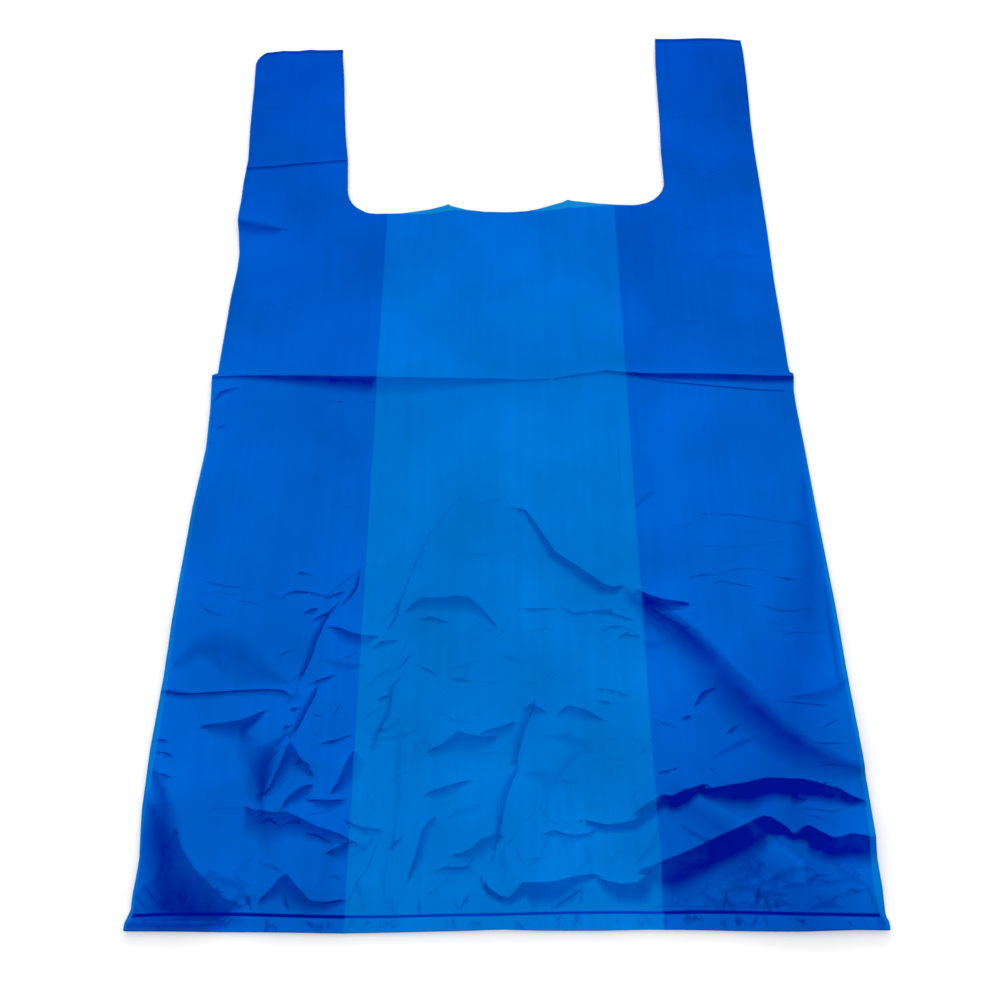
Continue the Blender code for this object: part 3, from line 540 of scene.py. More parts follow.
class FilmBagSettings(bpy.types.PropertyGroup):
    """Sizes and colours of the bag and its stage."""

    width: FloatProperty(
        name="Bag Width", description="Width of the tube of film lying flat",
        default=0.310, min=0.2, max=0.5, unit="LENGTH", subtype="DISTANCE")
    length: FloatProperty(
        name="Bag Length", description="Length of the film from the bottom edge to the handle tops",
        default=0.545, min=0.3, max=0.9, unit="LENGTH", subtype="DISTANCE")
    gusset_depth: FloatProperty(
        name="Gusset Depth", description="How deep each side is folded in",
        default=0.090, min=0.02, max=0.15, unit="LENGTH", subtype="DISTANCE")
    ply_pitch: FloatProperty(
        name="Ply Pitch", description="Distance between plies where the film lies loose",
        default=0.0003, min=0.00005, max=0.001, precision=5, unit="LENGTH", subtype="DISTANCE")
    weld_pitch: FloatProperty(
        name="Weld Pitch", description="Distance between plies at a heat weld",
        default=0.00008, min=0.00002, max=0.0005, precision=5, unit="LENGTH", subtype="DISTANCE")
    cell: FloatProperty(
        name="Film Cell", description="Spacing of the front ply's mesh where it is most creased",
        default=0.0013, min=0.001, max=0.01, precision=4, unit="LENGTH", subtype="DISTANCE")
    seed: IntProperty(
        name="Crumple Seed", description="Another number gives other small creases", default=11, min=0)
    two_ply: colour_property(
        "Two Plies", "Film where the front lies on the back", (0.0, 0.172, 0.625))
    four_ply: colour_property(
        "Four Plies", "Film over the folded gussets", (0.0, 0.114, 0.590))
    two_ply_top: colour_property(
        "Two Plies at the Mouth", "Two plies near the handles, where they lie closest",
        (0.0, 0.116, 0.655))
    four_ply_top: colour_property(
        "Four Plies in the Handles", "Four plies near the handles, where they lie closest",
        (0.0, 0.070, 0.505))
    one_ply: colour_property(
        "One Ply", "Film with nothing but the table behind it", (0.004, 0.245, 0.670))
    # Painted shade: the colours of two and of four plies on the near side of a fold, turned away from the
    # light.
    shaded_two_ply: colour_property(
        "Two Plies Raised", "Two plies where they stand off the table", (0.0, 0.078, 0.470))
    shaded_four_ply: colour_property(
        "Four Plies Raised", "Four plies where they stand off the table", (0.0, 0.0055, 0.295))
    # Painted shade: the colour of the dark line along a crisp crest.
    crease: colour_property(
        "Crease", "Film doubled on itself along a sharp crease", (0.0, 0.003, 0.240))
    weld_two: colour_property(
        "Weld over Two Plies", "The heat weld where two plies are melted together",
        (0.0, 0.040, 0.46))
    weld_four: colour_property(
        "Weld over Four Plies", "The heat weld where four plies are melted together",
        (0.0, 0.006, 0.30))
    table_colour: colour_property(
        "Table", "The pale table and backdrop", (0.95, 0.95, 0.95))


def smooth_step(values):
    """A soft step from 0 to 1."""
    inside = np.clip(values, 0.0, 1.0)
    return inside * inside * (3 - 2 * inside)


def table_value(table, places):
    """Reads a table of pairs at the places."""
    return np.interp(places, [row[0] for row in table], [row[1] for row in table])


def side_edge(across, along):
    """How far from the middle the lying bag's side edge is, on the side that each place is on."""
    return np.where(across < 0, -table_value(LEFT_SIDE, along), table_value(RIGHT_SIDE, along))


def quarter_round(start, end, flat_start):
    """The points between the ends of a quarter ellipse, which is level at its start or at its end."""
    turns = np.linspace(0.0, math.pi / 2, MOUTH_CORNER_STEPS + 1)[1:-1]
    across = np.sin(turns) if flat_start else 1 - np.cos(turns)
    along = 1 - np.cos(turns) if flat_start else np.sin(turns)
    (x, y), (far_x, far_y) = start, end
    return [(x + (far_x - x) * s, y + (far_y - y) * t) for s, t in zip(across, along)]


def mouth_edge(level):
    """The cut edge of the mouth in one ply: the back one is cut a little lower."""
    left_corner = quarter_round(MOUTH_LEFT[-1], MOUTH_FLOOR[0], flat_start=False)
    right_corner = quarter_round(MOUTH_FLOOR[-1], MOUTH_RIGHT[0], flat_start=True)
    front = [*MOUTH_LEFT, *left_corner, *MOUTH_FLOOR, *right_corner, *MOUTH_RIGHT]
    if level > 0:
        return front
    return [(x, y - table_value(BACK_MOUTH_DROP, x) if y < FLOOR_TOP else y) for x, y in front]


def in_outline(outline, places):
    """Which places lie inside a closed outline."""
    inside = np.zeros(len(places), dtype=bool)
    x, y = places[:, 0], places[:, 1]
    for (x1, y1), (x2, y2) in zip(outline, [*outline[1:], outline[0]]):
        if y1 != y2:
            inside ^= ((y1 > y) != (y2 > y)) & (x < (x2 - x1) * (y - y1) / (y2 - y1) + x1)
    return inside


def profile(shape, share):
    """The height of a fold's side as a share of its rise, at a share of the way down from the crest."""
    left = np.clip(1 - share, 0.0, 1.0)
    if shape == "tent":
        return left
    if shape == "cusp":
        return left * left
    return smooth_step(left)


def along_crest(crest, places):
    """Each place's distance from a crest, whether it is on the left, and the width and point there."""
    runs = np.diff(crest[:, :2], axis=0)
    headings = runs / np.linalg.norm(runs, axis=1)[:, None]
    away = np.full(len(places), np.inf)
    left = np.zeros(len(places), dtype=bool)
    width = np.zeros(len(places))
    nearest = np.zeros((len(places), 2))
    for index, run in enumerate(runs):
        start = crest[index]
        share = np.clip(((places - start[:2]) @ run) / (run @ run), 0.0, 1.0)
        foot = start[:2] + share[:, None] * run
        offset = places - foot
        heading = np.tile(headings[index], (len(places), 1))
        if index > 0:
            heading[share == 0.0] += headings[index - 1]
        if index < len(runs) - 1:
            heading[share == 1.0] += headings[index + 1]
        distance = np.hypot(offset[:, 0], offset[:, 1])
        closer = distance < away
        away[closer] = distance[closer]
        turn = heading[:, 0] * offset[:, 1] - heading[:, 1] * offset[:, 0]
        left[closer] = turn[closer] > 0
        width[closer] = (start[2] + (crest[index + 1][2] - start[2]) * share)[closer]
        nearest[closer] = foot[closer]
    return away, left, width, nearest


def near_fold(crest, places, reach):
    """Which places lie in a crest's box, grown by its reach."""
    low = crest[:, :2].min(axis=0) - reach
    high = crest[:, :2].max(axis=0) + reach
    return np.all((places > low) & (places < high), axis=1)


def relief(places, folds):
    """How far the folds and waves lift the film at each place, in mm."""
    heights = np.zeros(len(places))
    for name, crest in folds:
        kind = KINDS[name]
        inside = near_fold(crest, places, crest[:, 2].max() * kind.far_width)
        if not inside.any():
            continue
        away, left, width, _ = along_crest(crest, places[inside])
        near = profile(kind.near, away / width)
        far = profile(kind.far, away / (width * kind.far_width))
        heights[inside] += width * kind.slope * RISE_SHARE[kind.near] * np.where(left, far, near)
    for height, across, along, phase in WAVES:
        angle = 2 * math.pi * (places[:, 0] / across + places[:, 1] / along) + phase
        heights += height * 0.5 * (1 + np.sin(angle))
    return heights


def shaded_near_sides(places, folds):
    """For each place: how far in from the crest it is on a fold's near side, in mm, and how dark the
    painted shade is there.
    """
    within = np.full(len(places), -NEAR_REACH)
    shade_amount = np.zeros(len(places))
    for name, crest in folds:
        kind = KINDS[name]
        inside = np.flatnonzero(near_fold(crest, places, crest[:, 2].max() + CREST_REACH))
        if not kind.darkness or not len(inside):
            continue
        away, left, width, _ = along_crest(crest, places[inside])
        from_crest = np.where(left, -away, away)
        if not kind.crisp:
            from_crest = (2 * from_crest / (SOFT_EDGE * width) - 1) * EDGE_BLUR
        dark = kind.darkness * np.clip((1 - away / width) / kind.fade, 0.0, 1.0)
        seen = np.where(from_crest > EDGE_SEEN, dark, 0.0)
        best = np.where(within[inside] > EDGE_SEEN, shade_amount[inside], 0.0)
        nearer = (seen == 0) & (best == 0) & (from_crest > within[inside]) & (dark > 0)
        chosen = (seen > best) | nearer
        within[inside[chosen]] = from_crest[chosen]
        shade_amount[inside[chosen]] = dark[chosen]
    return within, shade_amount


def crisp_crests(places, folds, reach):
    """For each place: the distance from the nearest crisp crest, that crest's point and its width."""
    away = np.full(len(places), reach)
    nearest = places.copy()
    width = np.zeros(len(places))
    for name, crest in folds:
        inside = np.flatnonzero(near_fold(crest, places, reach))
        if not KINDS[name].crisp or not len(inside):
            continue
        distance, _, wide, foot = along_crest(crest, places[inside])
        closer = distance < away[inside]
        chosen = inside[closer]
        away[chosen] = distance[closer]
        nearest[chosen] = foot[closer]
        width[chosen] = wide[closer]
    return away, nearest, width


def keeps_off_wide_folds(crease, folds):
    """Whether a small crease lies clear of the crisp crests of the wide folds."""
    for name, crest in folds:
        if KINDS[name].crisp and crest[:, 2].max() > WIDE_FOLD:
            away, *_ = along_crest(crest, crease[:, :2])
            if away.min() < CLEAR_OF_CREST:
                return False
    return True


def chance_creases(seed, folds):
    """The small creases, the same for the same seed, where no wide fold's crest lies."""
    dice = np.random.default_rng(seed)
    found = []
    for kind, (left, low, right, high), number, lengths, widths, heading, spread in CRUMPLES:
        for _ in range(number):
            middle = np.array([dice.uniform(left, right), dice.uniform(low, high)])
            angle = math.radians(heading + dice.uniform(-spread, spread))
            if dice.random() < LEAN_CHANCE:
                angle = -angle
            half = np.array([math.cos(angle), math.sin(angle)]) * dice.uniform(*lengths) / 2
            bend = np.array([-half[1], half[0]]) * dice.uniform(-CREASE_BEND, CREASE_BEND)
            width = dice.uniform(*widths)
            ends = (middle - half, middle + bend, middle + half)
            crest = [(*end, width * share) for end, share in zip(ends, (CREASE_END, 1.0, CREASE_END))]
            if crest[0][0] > crest[-1][0]:
                crest.reverse()
            found.append((kind, np.array(crest)))
    return [crease for crease in found if keeps_off_wide_folds(crease[1], folds)]


def flat_places(corners):
    """Where the corners lie across and along the table."""
    return np.array([corner.co[:2] for corner in corners])


def on_rim(corner):
    """Whether a corner is on an open edge."""
    return any(side.is_boundary for side in corner.link_edges)


class Film:
    """Lays the plies of the bag in one bmesh, in mm."""

    def __init__(self, settings):
        """Takes the sizes in mm, and gathers the placed folds and the chance ones."""
        self.half_width = settings.width / MM / 2
        self.half_length = settings.length / MM / 2
        self.inner_fold = self.half_width - settings.gusset_depth / MM
        self.ply_pitch = settings.ply_pitch / MM
        self.weld_pitch = settings.weld_pitch / MM
        self.cell = settings.cell / MM
        self.folds = [(kind, np.array(crest, dtype=float)) for kind, *crest in FOLDS]
        self.folds += chance_creases(settings.seed, self.folds)
        self.tube = bmesh.new()
        layers = self.tube.verts.layers.float
        self.across = layers.new("across")
        self.along = layers.new("along")
        self.level = layers.new("level")

    def rows(self):
        """Where the mesh's rows lie along the bag: finer in the creased parts."""
        rows = [-self.half_length]
        for start, end, coarser in ROW_BANDS:
            count = max(round((end - start) * self.half_length / (self.cell * coarser)), 1)
            rows.extend(np.linspace(start * self.half_length, end * self.half_length, count + 1)[1:])
        return np.array(rows)

    def lying(self, across, along):
        """Where places of the flat film come to lie."""
        edge = side_edge(across, along)
        outward = np.abs(across)
        beyond = np.clip((outward - self.inner_fold) / (self.half_width - self.inner_fold), 0, 1)
        x = np.sign(across) * (np.minimum(outward, self.inner_fold) + beyond * (edge - self.inner_fold))
        top = table_value(TOP_SHIFT, x) * smooth_step((along - TOP_SHIFT_START) / TOP_SHIFT_RUN)
        bottom = table_value(BOTTOM_SHIFT, x) * smooth_step((BOTTOM_SHIFT_START - along) / BOTTOM_SHIFT_RUN)
        return np.stack([x, along + top + bottom], axis=1)

    def top_weld(self, across):
        """Where along the bag the welds of the handle tops lie."""
        return self.half_length - HANDLE_SKIRT + table_value(TOP_SHIFT, across)

    def looseness(self, places):
        """0 in the pressed band of a weld, up to 1 away from it."""
        weld = table_value(BOTTOM_WELD, places[:, 0])
        from_bottom = np.abs(places[:, 1] - weld)
        from_top = np.abs(places[:, 1] - self.top_weld(places[:, 0]))
        from_weld = np.minimum(from_bottom, from_top) - WELD_BAND / 2
        ease = np.where(places[:, 1] < weld, SKIRT_EASE, WELD_EASE)
        return np.clip(from_weld / ease, 0.0, 1.0)

    def stack_height(self, level, loose):
        """The height of a ply in the flat stack, where the film is pressed or loose."""
        return (self.weld_pitch + (self.ply_pitch - self.weld_pitch) * loose) * level

    def add_ply(self, level, left, right, columns):
        """One ply of film from the left to the right, with the mouth cut out."""
        rows = self.rows()
        made = bmesh.ops.create_grid(self.tube, x_segments=columns, y_segments=len(rows) - 1, size=0.5)
        corners = made["verts"]
        grid = flat_places(corners)
        across = left + (right - left) * (grid[:, 0] + 0.5)
        along = rows[np.round((grid[:, 1] + 0.5) * (len(rows) - 1)).astype(int)]
        for corner, place, u, v in zip(corners, self.lying(across, along), across, along):
            corner.co = (place[0], place[1], 0.0)
            corner[self.across] = u
            corner[self.along] = v
            corner[self.level] = level
        reach = max((right - left) / columns, self.cell * COARSE) * RIM_REACH
        return self.cut_mouth(corners, mouth_edge(level), reach)

    def cut_mouth(self, corners, edge, reach):
        """Cuts the mouth out of a ply, and moves the corners within reach of the cut onto it."""
        faces = list({face for corner in corners for face in corner.link_faces})
        middles = np.array([face.calc_center_median()[:2] for face in faces])
        cut = [face for face, inside in zip(faces, in_outline(edge, middles)) if inside]
        bmesh.ops.delete(self.tube, geom=cut, context="FACES")
        corners = [corner for corner in corners if corner.is_valid and corner.link_faces]
        rim = [corner for corner in corners if on_rim(corner)]
        crest = np.array([(x, y, 1.0) for x, y in edge])
        away, _, _, nearest = along_crest(crest, flat_places(rim))
        for corner, distance, foot in zip(rim, away, nearest):
            if distance < reach:
                corner.co.x, corner.co.y = foot
        return corners

    def follow_crests(self, corners):
        """Moves corners of the front ply onto the crisp crests near them, and marks those creases."""
        inner = [corner for corner in corners if not on_rim(corner)]
        _, nearest, width = crisp_crests(flat_places(inner), self.folds, self.cell * CREST_PULL)
        moved = []
        for corner, foot, wide in zip(inner, nearest, width):
            if wide > 0:
                corner.co.x, corner.co.y = foot
                moved.append(corner)
        bmesh.ops.remove_doubles(self.tube, verts=moved, dist=self.cell * MERGE_REACH)
        moved = {corner for corner in moved if corner.is_valid}
        bmesh.ops.connect_verts(self.tube, verts=list(moved))
        sides = [side for side in self.tube.edges if moved.issuperset(side.verts)]
        starts = flat_places([side.verts[0] for side in sides])
        ends = flat_places([side.verts[1] for side in sides])
        _, _, width = crisp_crests((starts + ends) / 2, self.folds, CREST_TOLERANCE)
        for side, wide in zip(sides, width):
            if wide > 0:
                side.smooth = False

    def raise_front(self, corners):
        """Lifts the front ply over the folds."""
        places = flat_places(corners)
        loose = self.looseness(places)
        heights = relief(places, self.folds) * loose + self.stack_height(FRONT_LEVEL, loose)
        for corner, height in zip(corners, heights):
            corner.co.z = height

    def low_field(self):
        """A coarse map of the lowest film nearby, which the plies under the front one follow."""
        across = np.arange(*FIELD_ACROSS, FIELD_STEP)
        along = np.arange(*FIELD_ALONG, FIELD_STEP)
        grid = np.stack(np.meshgrid(across, along, indexing="ij"), axis=-1).reshape(-1, 2)
        field = relief(grid, self.folds).reshape(len(across), len(along))
        for axis in (0, 1):
            for _ in range(FIELD_SPREAD):
                field = np.minimum(field, np.minimum(np.roll(field, 1, axis), np.roll(field, -1, axis)))
        for axis in (0, 1):
            for _ in range(FIELD_SPREAD):
                field = (field + np.roll(field, 1, axis) + np.roll(field, -1, axis)) / 3
        return across, along, field

    def raise_hidden(self, corners, level, field):
        """Lifts a ply under the front one, read between the four nearest places of the map."""
        across, along, heights = field
        places = flat_places(corners)
        x = np.clip((places[:, 0] - across[0]) / FIELD_STEP, 0, len(across) - FIELD_RIM)
        y = np.clip((places[:, 1] - along[0]) / FIELD_STEP, 0, len(along) - FIELD_RIM)
        i, j = x.astype(int), y.astype(int)
        s, t = x - i, y - j
        low = (heights[i, j] * (1 - s) + heights[i + 1, j] * s) * (1 - t)
        low += (heights[i, j + 1] * (1 - s) + heights[i + 1, j + 1] * s) * t
        loose = self.looseness(places)
        raised = low * HIDDEN_SHARE * loose + self.stack_height(level, loose)
        for corner, height in zip(corners, raised):
            corner.co.z = height

    def join(self, low, high, across):
        """Closes the tube along one fold between two plies."""
        sides = [
            side
            for side in self.tube.edges
            if side.is_boundary
            and all(abs(end[self.across] - across) < SAME_FOLD for end in side.verts)
            and all(round(end[self.level]) in (low, high) for end in side.verts)
        ]
        bmesh.ops.bridge_loops(self.tube, edges=sides)

    def build(self):
        """The whole film as one mesh with its attributes."""
        width = self.half_width
        front = self.add_ply(FRONT_LEVEL, -width, width, round(2 * width / self.cell))
        self.follow_crests(front)
        self.raise_front([corner for corner in front if corner.is_valid])
        field = self.low_field()
        self.raise_hidden(self.add_ply(0, -width, width, HIDDEN_COLUMNS), 0, field)
        for level in (1, 2):
            for left, right in ((-width, -self.inner_fold), (self.inner_fold, width)):
                self.raise_hidden(self.add_ply(level, left, right, PANEL_COLUMNS), level, field)
        for side in (-1, 1):
            self.join(0, 1, side * width)
            self.join(1, 2, side * self.inner_fold)
            self.join(2, 3, side * width)
        bmesh.ops.recalc_face_normals(self.tube, faces=self.tube.faces)
        highest = max(self.tube.faces, key=lambda face: face.calc_center_median().z)
        if highest.normal.z < 0:
            bmesh.ops.reverse_faces(self.tube, faces=self.tube.faces)
        return self.finish()

    def marks(self):
        """What the film's material reads at each corner, by attribute."""
        places = flat_places(self.tube.verts)
        x, y = places[:, 0], places[:, 1]
        across = np.array([corner[self.across] for corner in self.tube.verts])
        level = np.array([corner[self.level] for corner in self.tube.verts])
        strip = np.where(x < 0, table_value(LEFT_STRIP, y), table_value(RIGHT_STRIP, y))
        panel = np.minimum(np.abs(across) - self.inner_fold, side_edge(x, y) - np.abs(x) - strip)
        edge = mouth_edge(FRONT_LEVEL)
        floor = [point for point in edge if point[1] < FLOOR_TOP and abs(point[0]) < FLOOR_HALF]
        back_floor = table_value(floor, x) - table_value(BACK_MOUTH_DROP, x)
        over_mouth = (np.abs(x) < SINGLE_HALF) & (level > FRONT_LEVEL - 0.5)
        # The painted shade line along the crisp crests.
        away, _, width = crisp_crests(places, self.folds, CREST_REACH)
        comes = smooth_step((width - CREASE_SHADE_COMES[0]) / CREASE_SHADE_COMES[1])
        goes = CREASE_SHADE_LOSS * smooth_step((width - CREASE_SHADE_GOES[0]) / CREASE_SHADE_GOES[1])
        weld = np.where(y > 0, self.top_weld(x), table_value(BOTTOM_WELD, x))
        # The painted shade on the near sides of the folds, and the broad painted shade.
        within, shade_amount = shaded_near_sides(places, [fold for fold in self.folds if fold[0] != "broad"])
        inner, broad_shade = shaded_near_sides(places, [fold for fold in self.folds if fold[0] == "broad"])
        return {
            "side_panel": panel,
            "single_ply": np.where(over_mouth, y - back_floor, NOT_SINGLE),
            "crest": away,
            "crease_shade": comes * (1 - goes),
            "weld": y - weld,
            "weld_end": self.half_width - WELD_END - np.abs(x),
            "near_side": within,
            "painted_near_shade": shade_amount,
            "broad_shade": broad_shade * np.clip((inner / EDGE_BLUR + 1) / 2, 0.0, 1.0),
        }

    def finish(self):
        """Writes the attributes and the flat film as UV places, and the mesh in metres."""
        for name, values in self.marks().items():
            layer = self.tube.verts.layers.float.new(name)
            for corner, value in zip(self.tube.verts, values):
                corner[layer] = value
        flat = self.tube.loops.layers.uv.new("film")
        for face in self.tube.faces:
            face.smooth = True
            for loop in face.loops:
                loop[flat].uv = (loop.vert[self.across] * MM, loop.vert[self.along] * MM)
        for name in ("across", "along", "level"):
            self.tube.verts.layers.float.remove(self.tube.verts.layers.float[name])
        bmesh.ops.transform(self.tube, matrix=Matrix.Scale(MM, 4), verts=self.tube.verts)
        mesh = bpy.data.meshes.new("film")
        self.tube.to_mesh(mesh)
        self.tube.free()
        return mesh


def add_node(tree, kind, **values):
    """A node with its properties and the values of its named inputs set."""
    node = tree.nodes.new(kind)
    for name, value in values.items():
        if hasattr(node, name):
            setattr(node, name, value)
        else:
            node.inputs[name.replace("_", " ")].default_value = value
    return node


def ramp(tree, value, low, high):
    """0 where the value is at low, 1 where it is at high, and straight between them."""
    node = add_node(tree, "ShaderNodeMapRange", From_Min=low, From_Max=high)
    tree.links.new(value, node.inputs["Value"])
    return node.outputs["Result"]


def math_node(tree, operation, first, second=None):
    """A calculation on one or two sockets or numbers."""
    node = add_node(tree, "ShaderNodeMath", operation=operation)
    for socket, value in zip(node.inputs, (first, second)):
        if isinstance(value, bpy.types.NodeSocket):
            tree.links.new(value, socket)
        elif value is not None:
            socket.default_value = value
    return node.outputs[0]


def product(tree, first, *others):
    """The product of sockets or numbers."""
    for other in others:
        first = math_node(tree, "MULTIPLY", first, other)
    return first


def mix_colour(tree, factor, first, second, blend="MIX"):
    """Blends two colours, each a socket or a plain colour."""
    node = add_node(tree, "ShaderNodeMix", data_type="RGBA", blend_type=blend)
    for socket, value in ((node.inputs[0], factor), (node.inputs[6], first), (node.inputs[7], second)):
        if isinstance(value, bpy.types.NodeSocket):
            tree.links.new(value, socket)
        elif isinstance(value, (int, float)):
            socket.default_value = value
        else:
            socket.default_value = (*value, 1.0)
    return node.outputs[2]


def attribute(tree, name):
    """One of the film's own attributes."""
    return add_node(tree, "ShaderNodeAttribute", attribute_name=name).outputs["Fac"]


def noise(tree, places, **values):
    """A noise pattern over the places."""
    node = add_node(tree, "ShaderNodeTexNoise", **values)
    tree.links.new(places, node.inputs["Vector"])
    return node.outputs["Fac"]


def bump(tree, height, **values):
    """A bump of the surface."""
    node = add_node(tree, "ShaderNodeBump", **values)
    tree.links.new(height, node.inputs["Height"])
    return node


def matt_material(name, roughness):
    """A material without a gloss layer, and its shader."""
    material = bpy.data.materials.new(name)
    material.use_nodes = True
    shader = material.node_tree.nodes["Principled BSDF"]
    shader.inputs["Roughness"].default_value = roughness
    shader.inputs["Specular IOR Level"].default_value = 0.0
    return material, shader


def lying_colour(tree, settings, four, along):
    """The film where it lies on the table, by its number of plies and its place along the bag."""
    handles = ramp(tree, along, *HANDLE_TONE)
    two = mix_colour(tree, handles, settings.two_ply, settings.two_ply_top)
    panels = mix_colour(tree, handles, settings.four_ply, settings.four_ply_top)
    stacked = mix_colour(tree, four, two, panels)
    one = ramp(tree, attribute(tree, "single_ply"), *ONE_PLY_EDGE)
    return mix_colour(tree, one, stacked, settings.one_ply)


def painted_shade_share(tree, places):
    """How much painted shade the near side of a fold takes, with the broad painted shade, made uneven by
    noise.
    """
    within = ramp(tree, attribute(tree, "near_side"), -EDGE_BLUR, EDGE_BLUR)
    uneven = noise(tree, places, Scale=70.0, Detail=4.0, Roughness=0.6, Distortion=0.8)
    shade_sum = product(tree, within, attribute(tree, "painted_near_shade"))
    shade_sum = math_node(tree, "ADD", shade_sum, attribute(tree, "broad_shade"))
    return product(tree, shade_sum, ramp(tree, uneven, *UNEVEN_RANGE))


def crease_shade_share(tree, four):
    """The painted shade along a crisp crest, fainter where fewer plies lie under it."""
    line = ramp(tree, attribute(tree, "crest"), *CREASE_SHADE_EDGE)
    by_plies = ramp(tree, four, *CREASE_SHADE_BY_PLIES)
    return product(tree, line, attribute(tree, "crease_shade"), CREASE_SHADE_STRENGTH, by_plies)


def weld_share(tree, four, along):
    """The band of a heat weld, fainter in the handles."""
    from_weld = math_node(tree, "ABSOLUTE", attribute(tree, "weld"))
    from_weld = math_node(tree, "SUBTRACT", from_weld, product(tree, four, FOUR_PLY_WELD))
    band = ramp(tree, from_weld, *WELD_EDGE)
    ends = ramp(tree, attribute(tree, "weld_end"), *WELD_END_EDGE)
    return product(tree, band, ends, ramp(tree, along, *WELD_TONE))


def film_mottling(tree, place):
    """Soft clouds over the film, and streaks along it as it left the die."""
    clouds = noise(tree, place.outputs["Object"], Scale=16.0, Detail=3.0, Roughness=0.5)
    stretch = add_node(tree, "ShaderNodeMapping", Scale=STREAK_SCALE)
    tree.links.new(place.outputs["UV"], stretch.inputs["Vector"])
    streaks = noise(tree, stretch.outputs[0], Scale=1.0, Detail=2.0)
    cloud_tone = ramp(tree, clouds, *CLOUD_RANGE)
    return product(tree, cloud_tone, ramp(tree, streaks, *STREAK_RANGE), TONE_GAIN)


def film_wrinkles(tree, places):
    """Fine grain and soft wrinkles that the mesh doesn't hold."""
    grain = noise(tree, places, Scale=900.0, Detail=2.0)
    wrinkles = noise(tree, places, Scale=150.0, Detail=4.0, Roughness=0.6, Distortion=0.6)
    rough = bump(tree, grain, Strength=0.25, Distance=0.0001)
    soft = bump(tree, wrinkles, Strength=0.35, Distance=0.0006)
    tree.links.new(rough.outputs["Normal"], soft.inputs["Normal"])
    return soft.outputs["Normal"]


def film_material(settings):
    """Blue film: deeper where it is doubled, with painted shade on the near sides of folds and along crisp
    crests, and darker along welds.
    """
    material, shader = matt_material("blue_film", FILM_ROUGHNESS)
    tree = material.node_tree
    place = add_node(tree, "ShaderNodeTexCoord")
    split = add_node(tree, "ShaderNodeSeparateXYZ")
    tree.links.new(place.outputs["Object"], split.inputs[0])
    places, along = place.outputs["Object"], split.outputs["Y"]
    four = ramp(tree, attribute(tree, "side_panel"), *FOUR_PLY_EDGE)
    colour = lying_colour(tree, settings, four, along)
    # Painted shade on the near sides of the folds.
    raised = mix_colour(tree, four, settings.shaded_two_ply, settings.shaded_four_ply)
    colour = mix_colour(tree, painted_shade_share(tree, places), colour, raised)
    # Painted shade along the crisp crests.
    colour = mix_colour(tree, crease_shade_share(tree, four), colour, settings.crease)
    weld = mix_colour(tree, four, settings.weld_two, settings.weld_four)
    colour = mix_colour(tree, weld_share(tree, four, along), colour, weld)
    colour = mix_colour(tree, 1.0, colour, film_mottling(tree, place), blend="MULTIPLY")
    tree.links.new(colour, shader.inputs["Base Color"])
    tree.links.new(film_wrinkles(tree, places), shader.inputs["Normal"])
    return material


def seen_directly(tree):
    """1 where the camera sees something, straight or by way of a glossy or clear piece."""
    ray = add_node(tree, "ShaderNodeLightPath")
    seen = math_node(tree, "MAXIMUM", ray.outputs["Is Camera Ray"], ray.outputs["Is Glossy Ray"])
    return math_node(tree, "MAXIMUM", seen, ray.outputs["Is Transmission Ray"])


def table_material(settings):
    """A matt pale table, which the camera sees a little brighter than it lights the bag."""
    material, shader = matt_material("pale_table", 1.0)
    tree = material.node_tree
    tree.links.new(product(tree, seen_directly(tree), TABLE_GLOW), shader.inputs["Emission Strength"])
    shader.inputs["Emission Color"].default_value = WHITE
    shader.inputs["Base Color"].default_value = (*settings.table_colour, 1.0)
    return material


def add_object(scene, name, data):
    """A new object in the scene."""
    added = bpy.data.objects.new(name, data)
    scene.collection.objects.link(added)
    return added


def lay_table(scene, settings):
    """The table under the bag."""
    shape = bmesh.new()
    bmesh.ops.create_grid(shape, x_segments=1, y_segments=1, size=TABLE_HALF)
    bmesh.ops.translate(shape, verts=shape.verts, vec=(0.0, 0.0, -TABLE_GAP))
    mesh = bpy.data.meshes.new("table")
    shape.to_mesh(mesh)
    shape.free()
    table = add_object(scene, "table", mesh)
    table.data.materials.append(table_material(settings))


def light_window(scene):
    """A wide soft light beyond the handles, aimed at the bag."""
    lamp = add_object(scene, "far window", bpy.data.lights.new("far window", "AREA"))
    lamp.data.shape = "RECTANGLE"
    lamp.data.size, lamp.data.size_y = WINDOW_SIZE
    lamp.data.energy = WINDOW_POWER
    lamp.data.specular_factor = 0.0
    lamp.location = WINDOW_PLACE
    lamp.rotation_euler = Vector(WINDOW_PLACE).to_track_quat("Z", "Y").to_euler()


def pale_room(scene):
    """An even white room, a little dimmer as light than as it is seen."""
    world = bpy.data.worlds.new("pale room")
    world.use_nodes = True
    tree = world.node_tree
    room = tree.nodes["Background"]
    room.inputs["Color"].default_value = WHITE
    strength = math_node(tree, "MAXIMUM", seen_directly(tree), ROOM_LIGHT)
    tree.links.new(strength, room.inputs["Strength"])
    scene.world = world


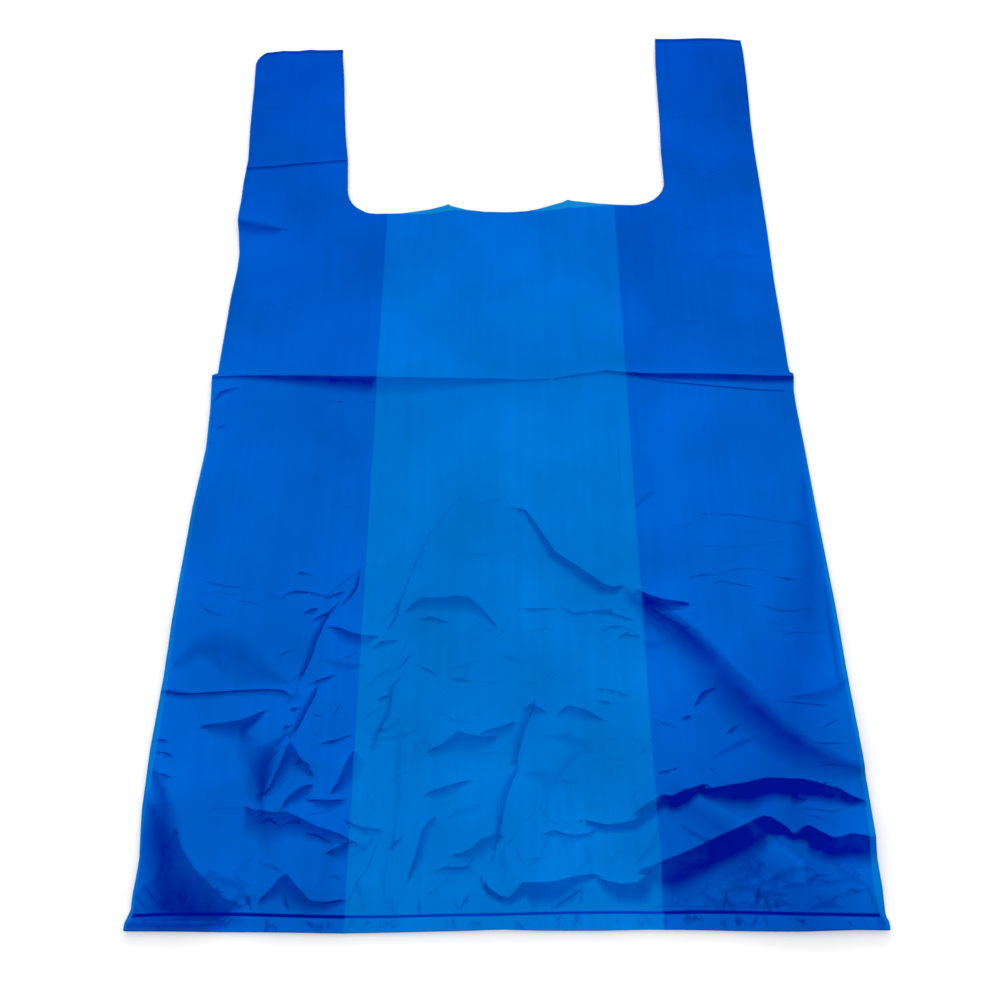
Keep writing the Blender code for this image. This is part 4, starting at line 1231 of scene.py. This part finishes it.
def place_camera(scene):
    """The photo's camera."""
    camera = add_object(scene, "camera", bpy.data.cameras.new("camera"))
    camera.data.sensor_width = SENSOR_WIDTH
    camera.data.lens = CAMERA_LENS
    first, second, third = (Matrix.Rotation(angle, 4, axis) for angle, axis in zip(CAMERA_TURN, "ZXZ"))
    camera.matrix_world = Matrix.Translation(CAMERA_PLACE) @ (first @ second @ third)
    scene.camera = camera


class FILM_OT_lay_bag(bpy.types.Operator):
    """Lay the bag's film over its creases"""

    bl_idname = "film_bag.lay_bag"
    bl_label = "Lay Bag"

    def execute(self, context):
        settings = context.scene.film_bag
        bag = add_object(context.scene, "film", Film(settings).build())
        bag.data.materials.append(film_material(settings))
        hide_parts(BAG_NODE)
        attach(bag, "root")
        return {"FINISHED"}


class FILM_OT_set_stage(bpy.types.Operator):
    """Set the pale table, the light from the far side and the camera"""

    bl_idname = "film_bag.set_stage"
    bl_label = "Set Stage"

    def execute(self, context):
        scene = context.scene
        lay_table(scene, scene.film_bag)
        light_window(scene)
        pale_room(scene)
        place_camera(scene)
        scene.view_settings.view_transform = "Standard"
        return {"FINISHED"}


class FILM_PT_bag(bpy.types.Panel):
    """Sizes, colours and steps of the film bag"""

    bl_idname = "FILM_PT_bag"
    bl_label = "Film Bag"
    bl_space_type = "VIEW_3D"
    bl_region_type = "UI"
    bl_category = "Film Bag"

    def draw(self, context):
        for name in FilmBagSettings.__annotations__:
            self.layout.prop(context.scene.film_bag, name)
        for operator in (FILM_OT_lay_bag, FILM_OT_set_stage):
            self.layout.operator(operator.bl_idname)


CLASSES = (FilmBagSettings, FILM_OT_lay_bag, FILM_OT_set_stage, FILM_PT_bag)


def register():
    for owner in CLASSES:
        bpy.utils.register_class(owner)
    bpy.types.Scene.film_bag = PointerProperty(type=FilmBagSettings)


def unregister():
    del bpy.types.Scene.film_bag
    for owner in reversed(CLASSES):
        bpy.utils.unregister_class(owner)


def main():
    register()
    bpy.ops.film_bag.lay_bag()
    bpy.ops.film_bag.set_stage()


if __name__ == "__main__":
    main()
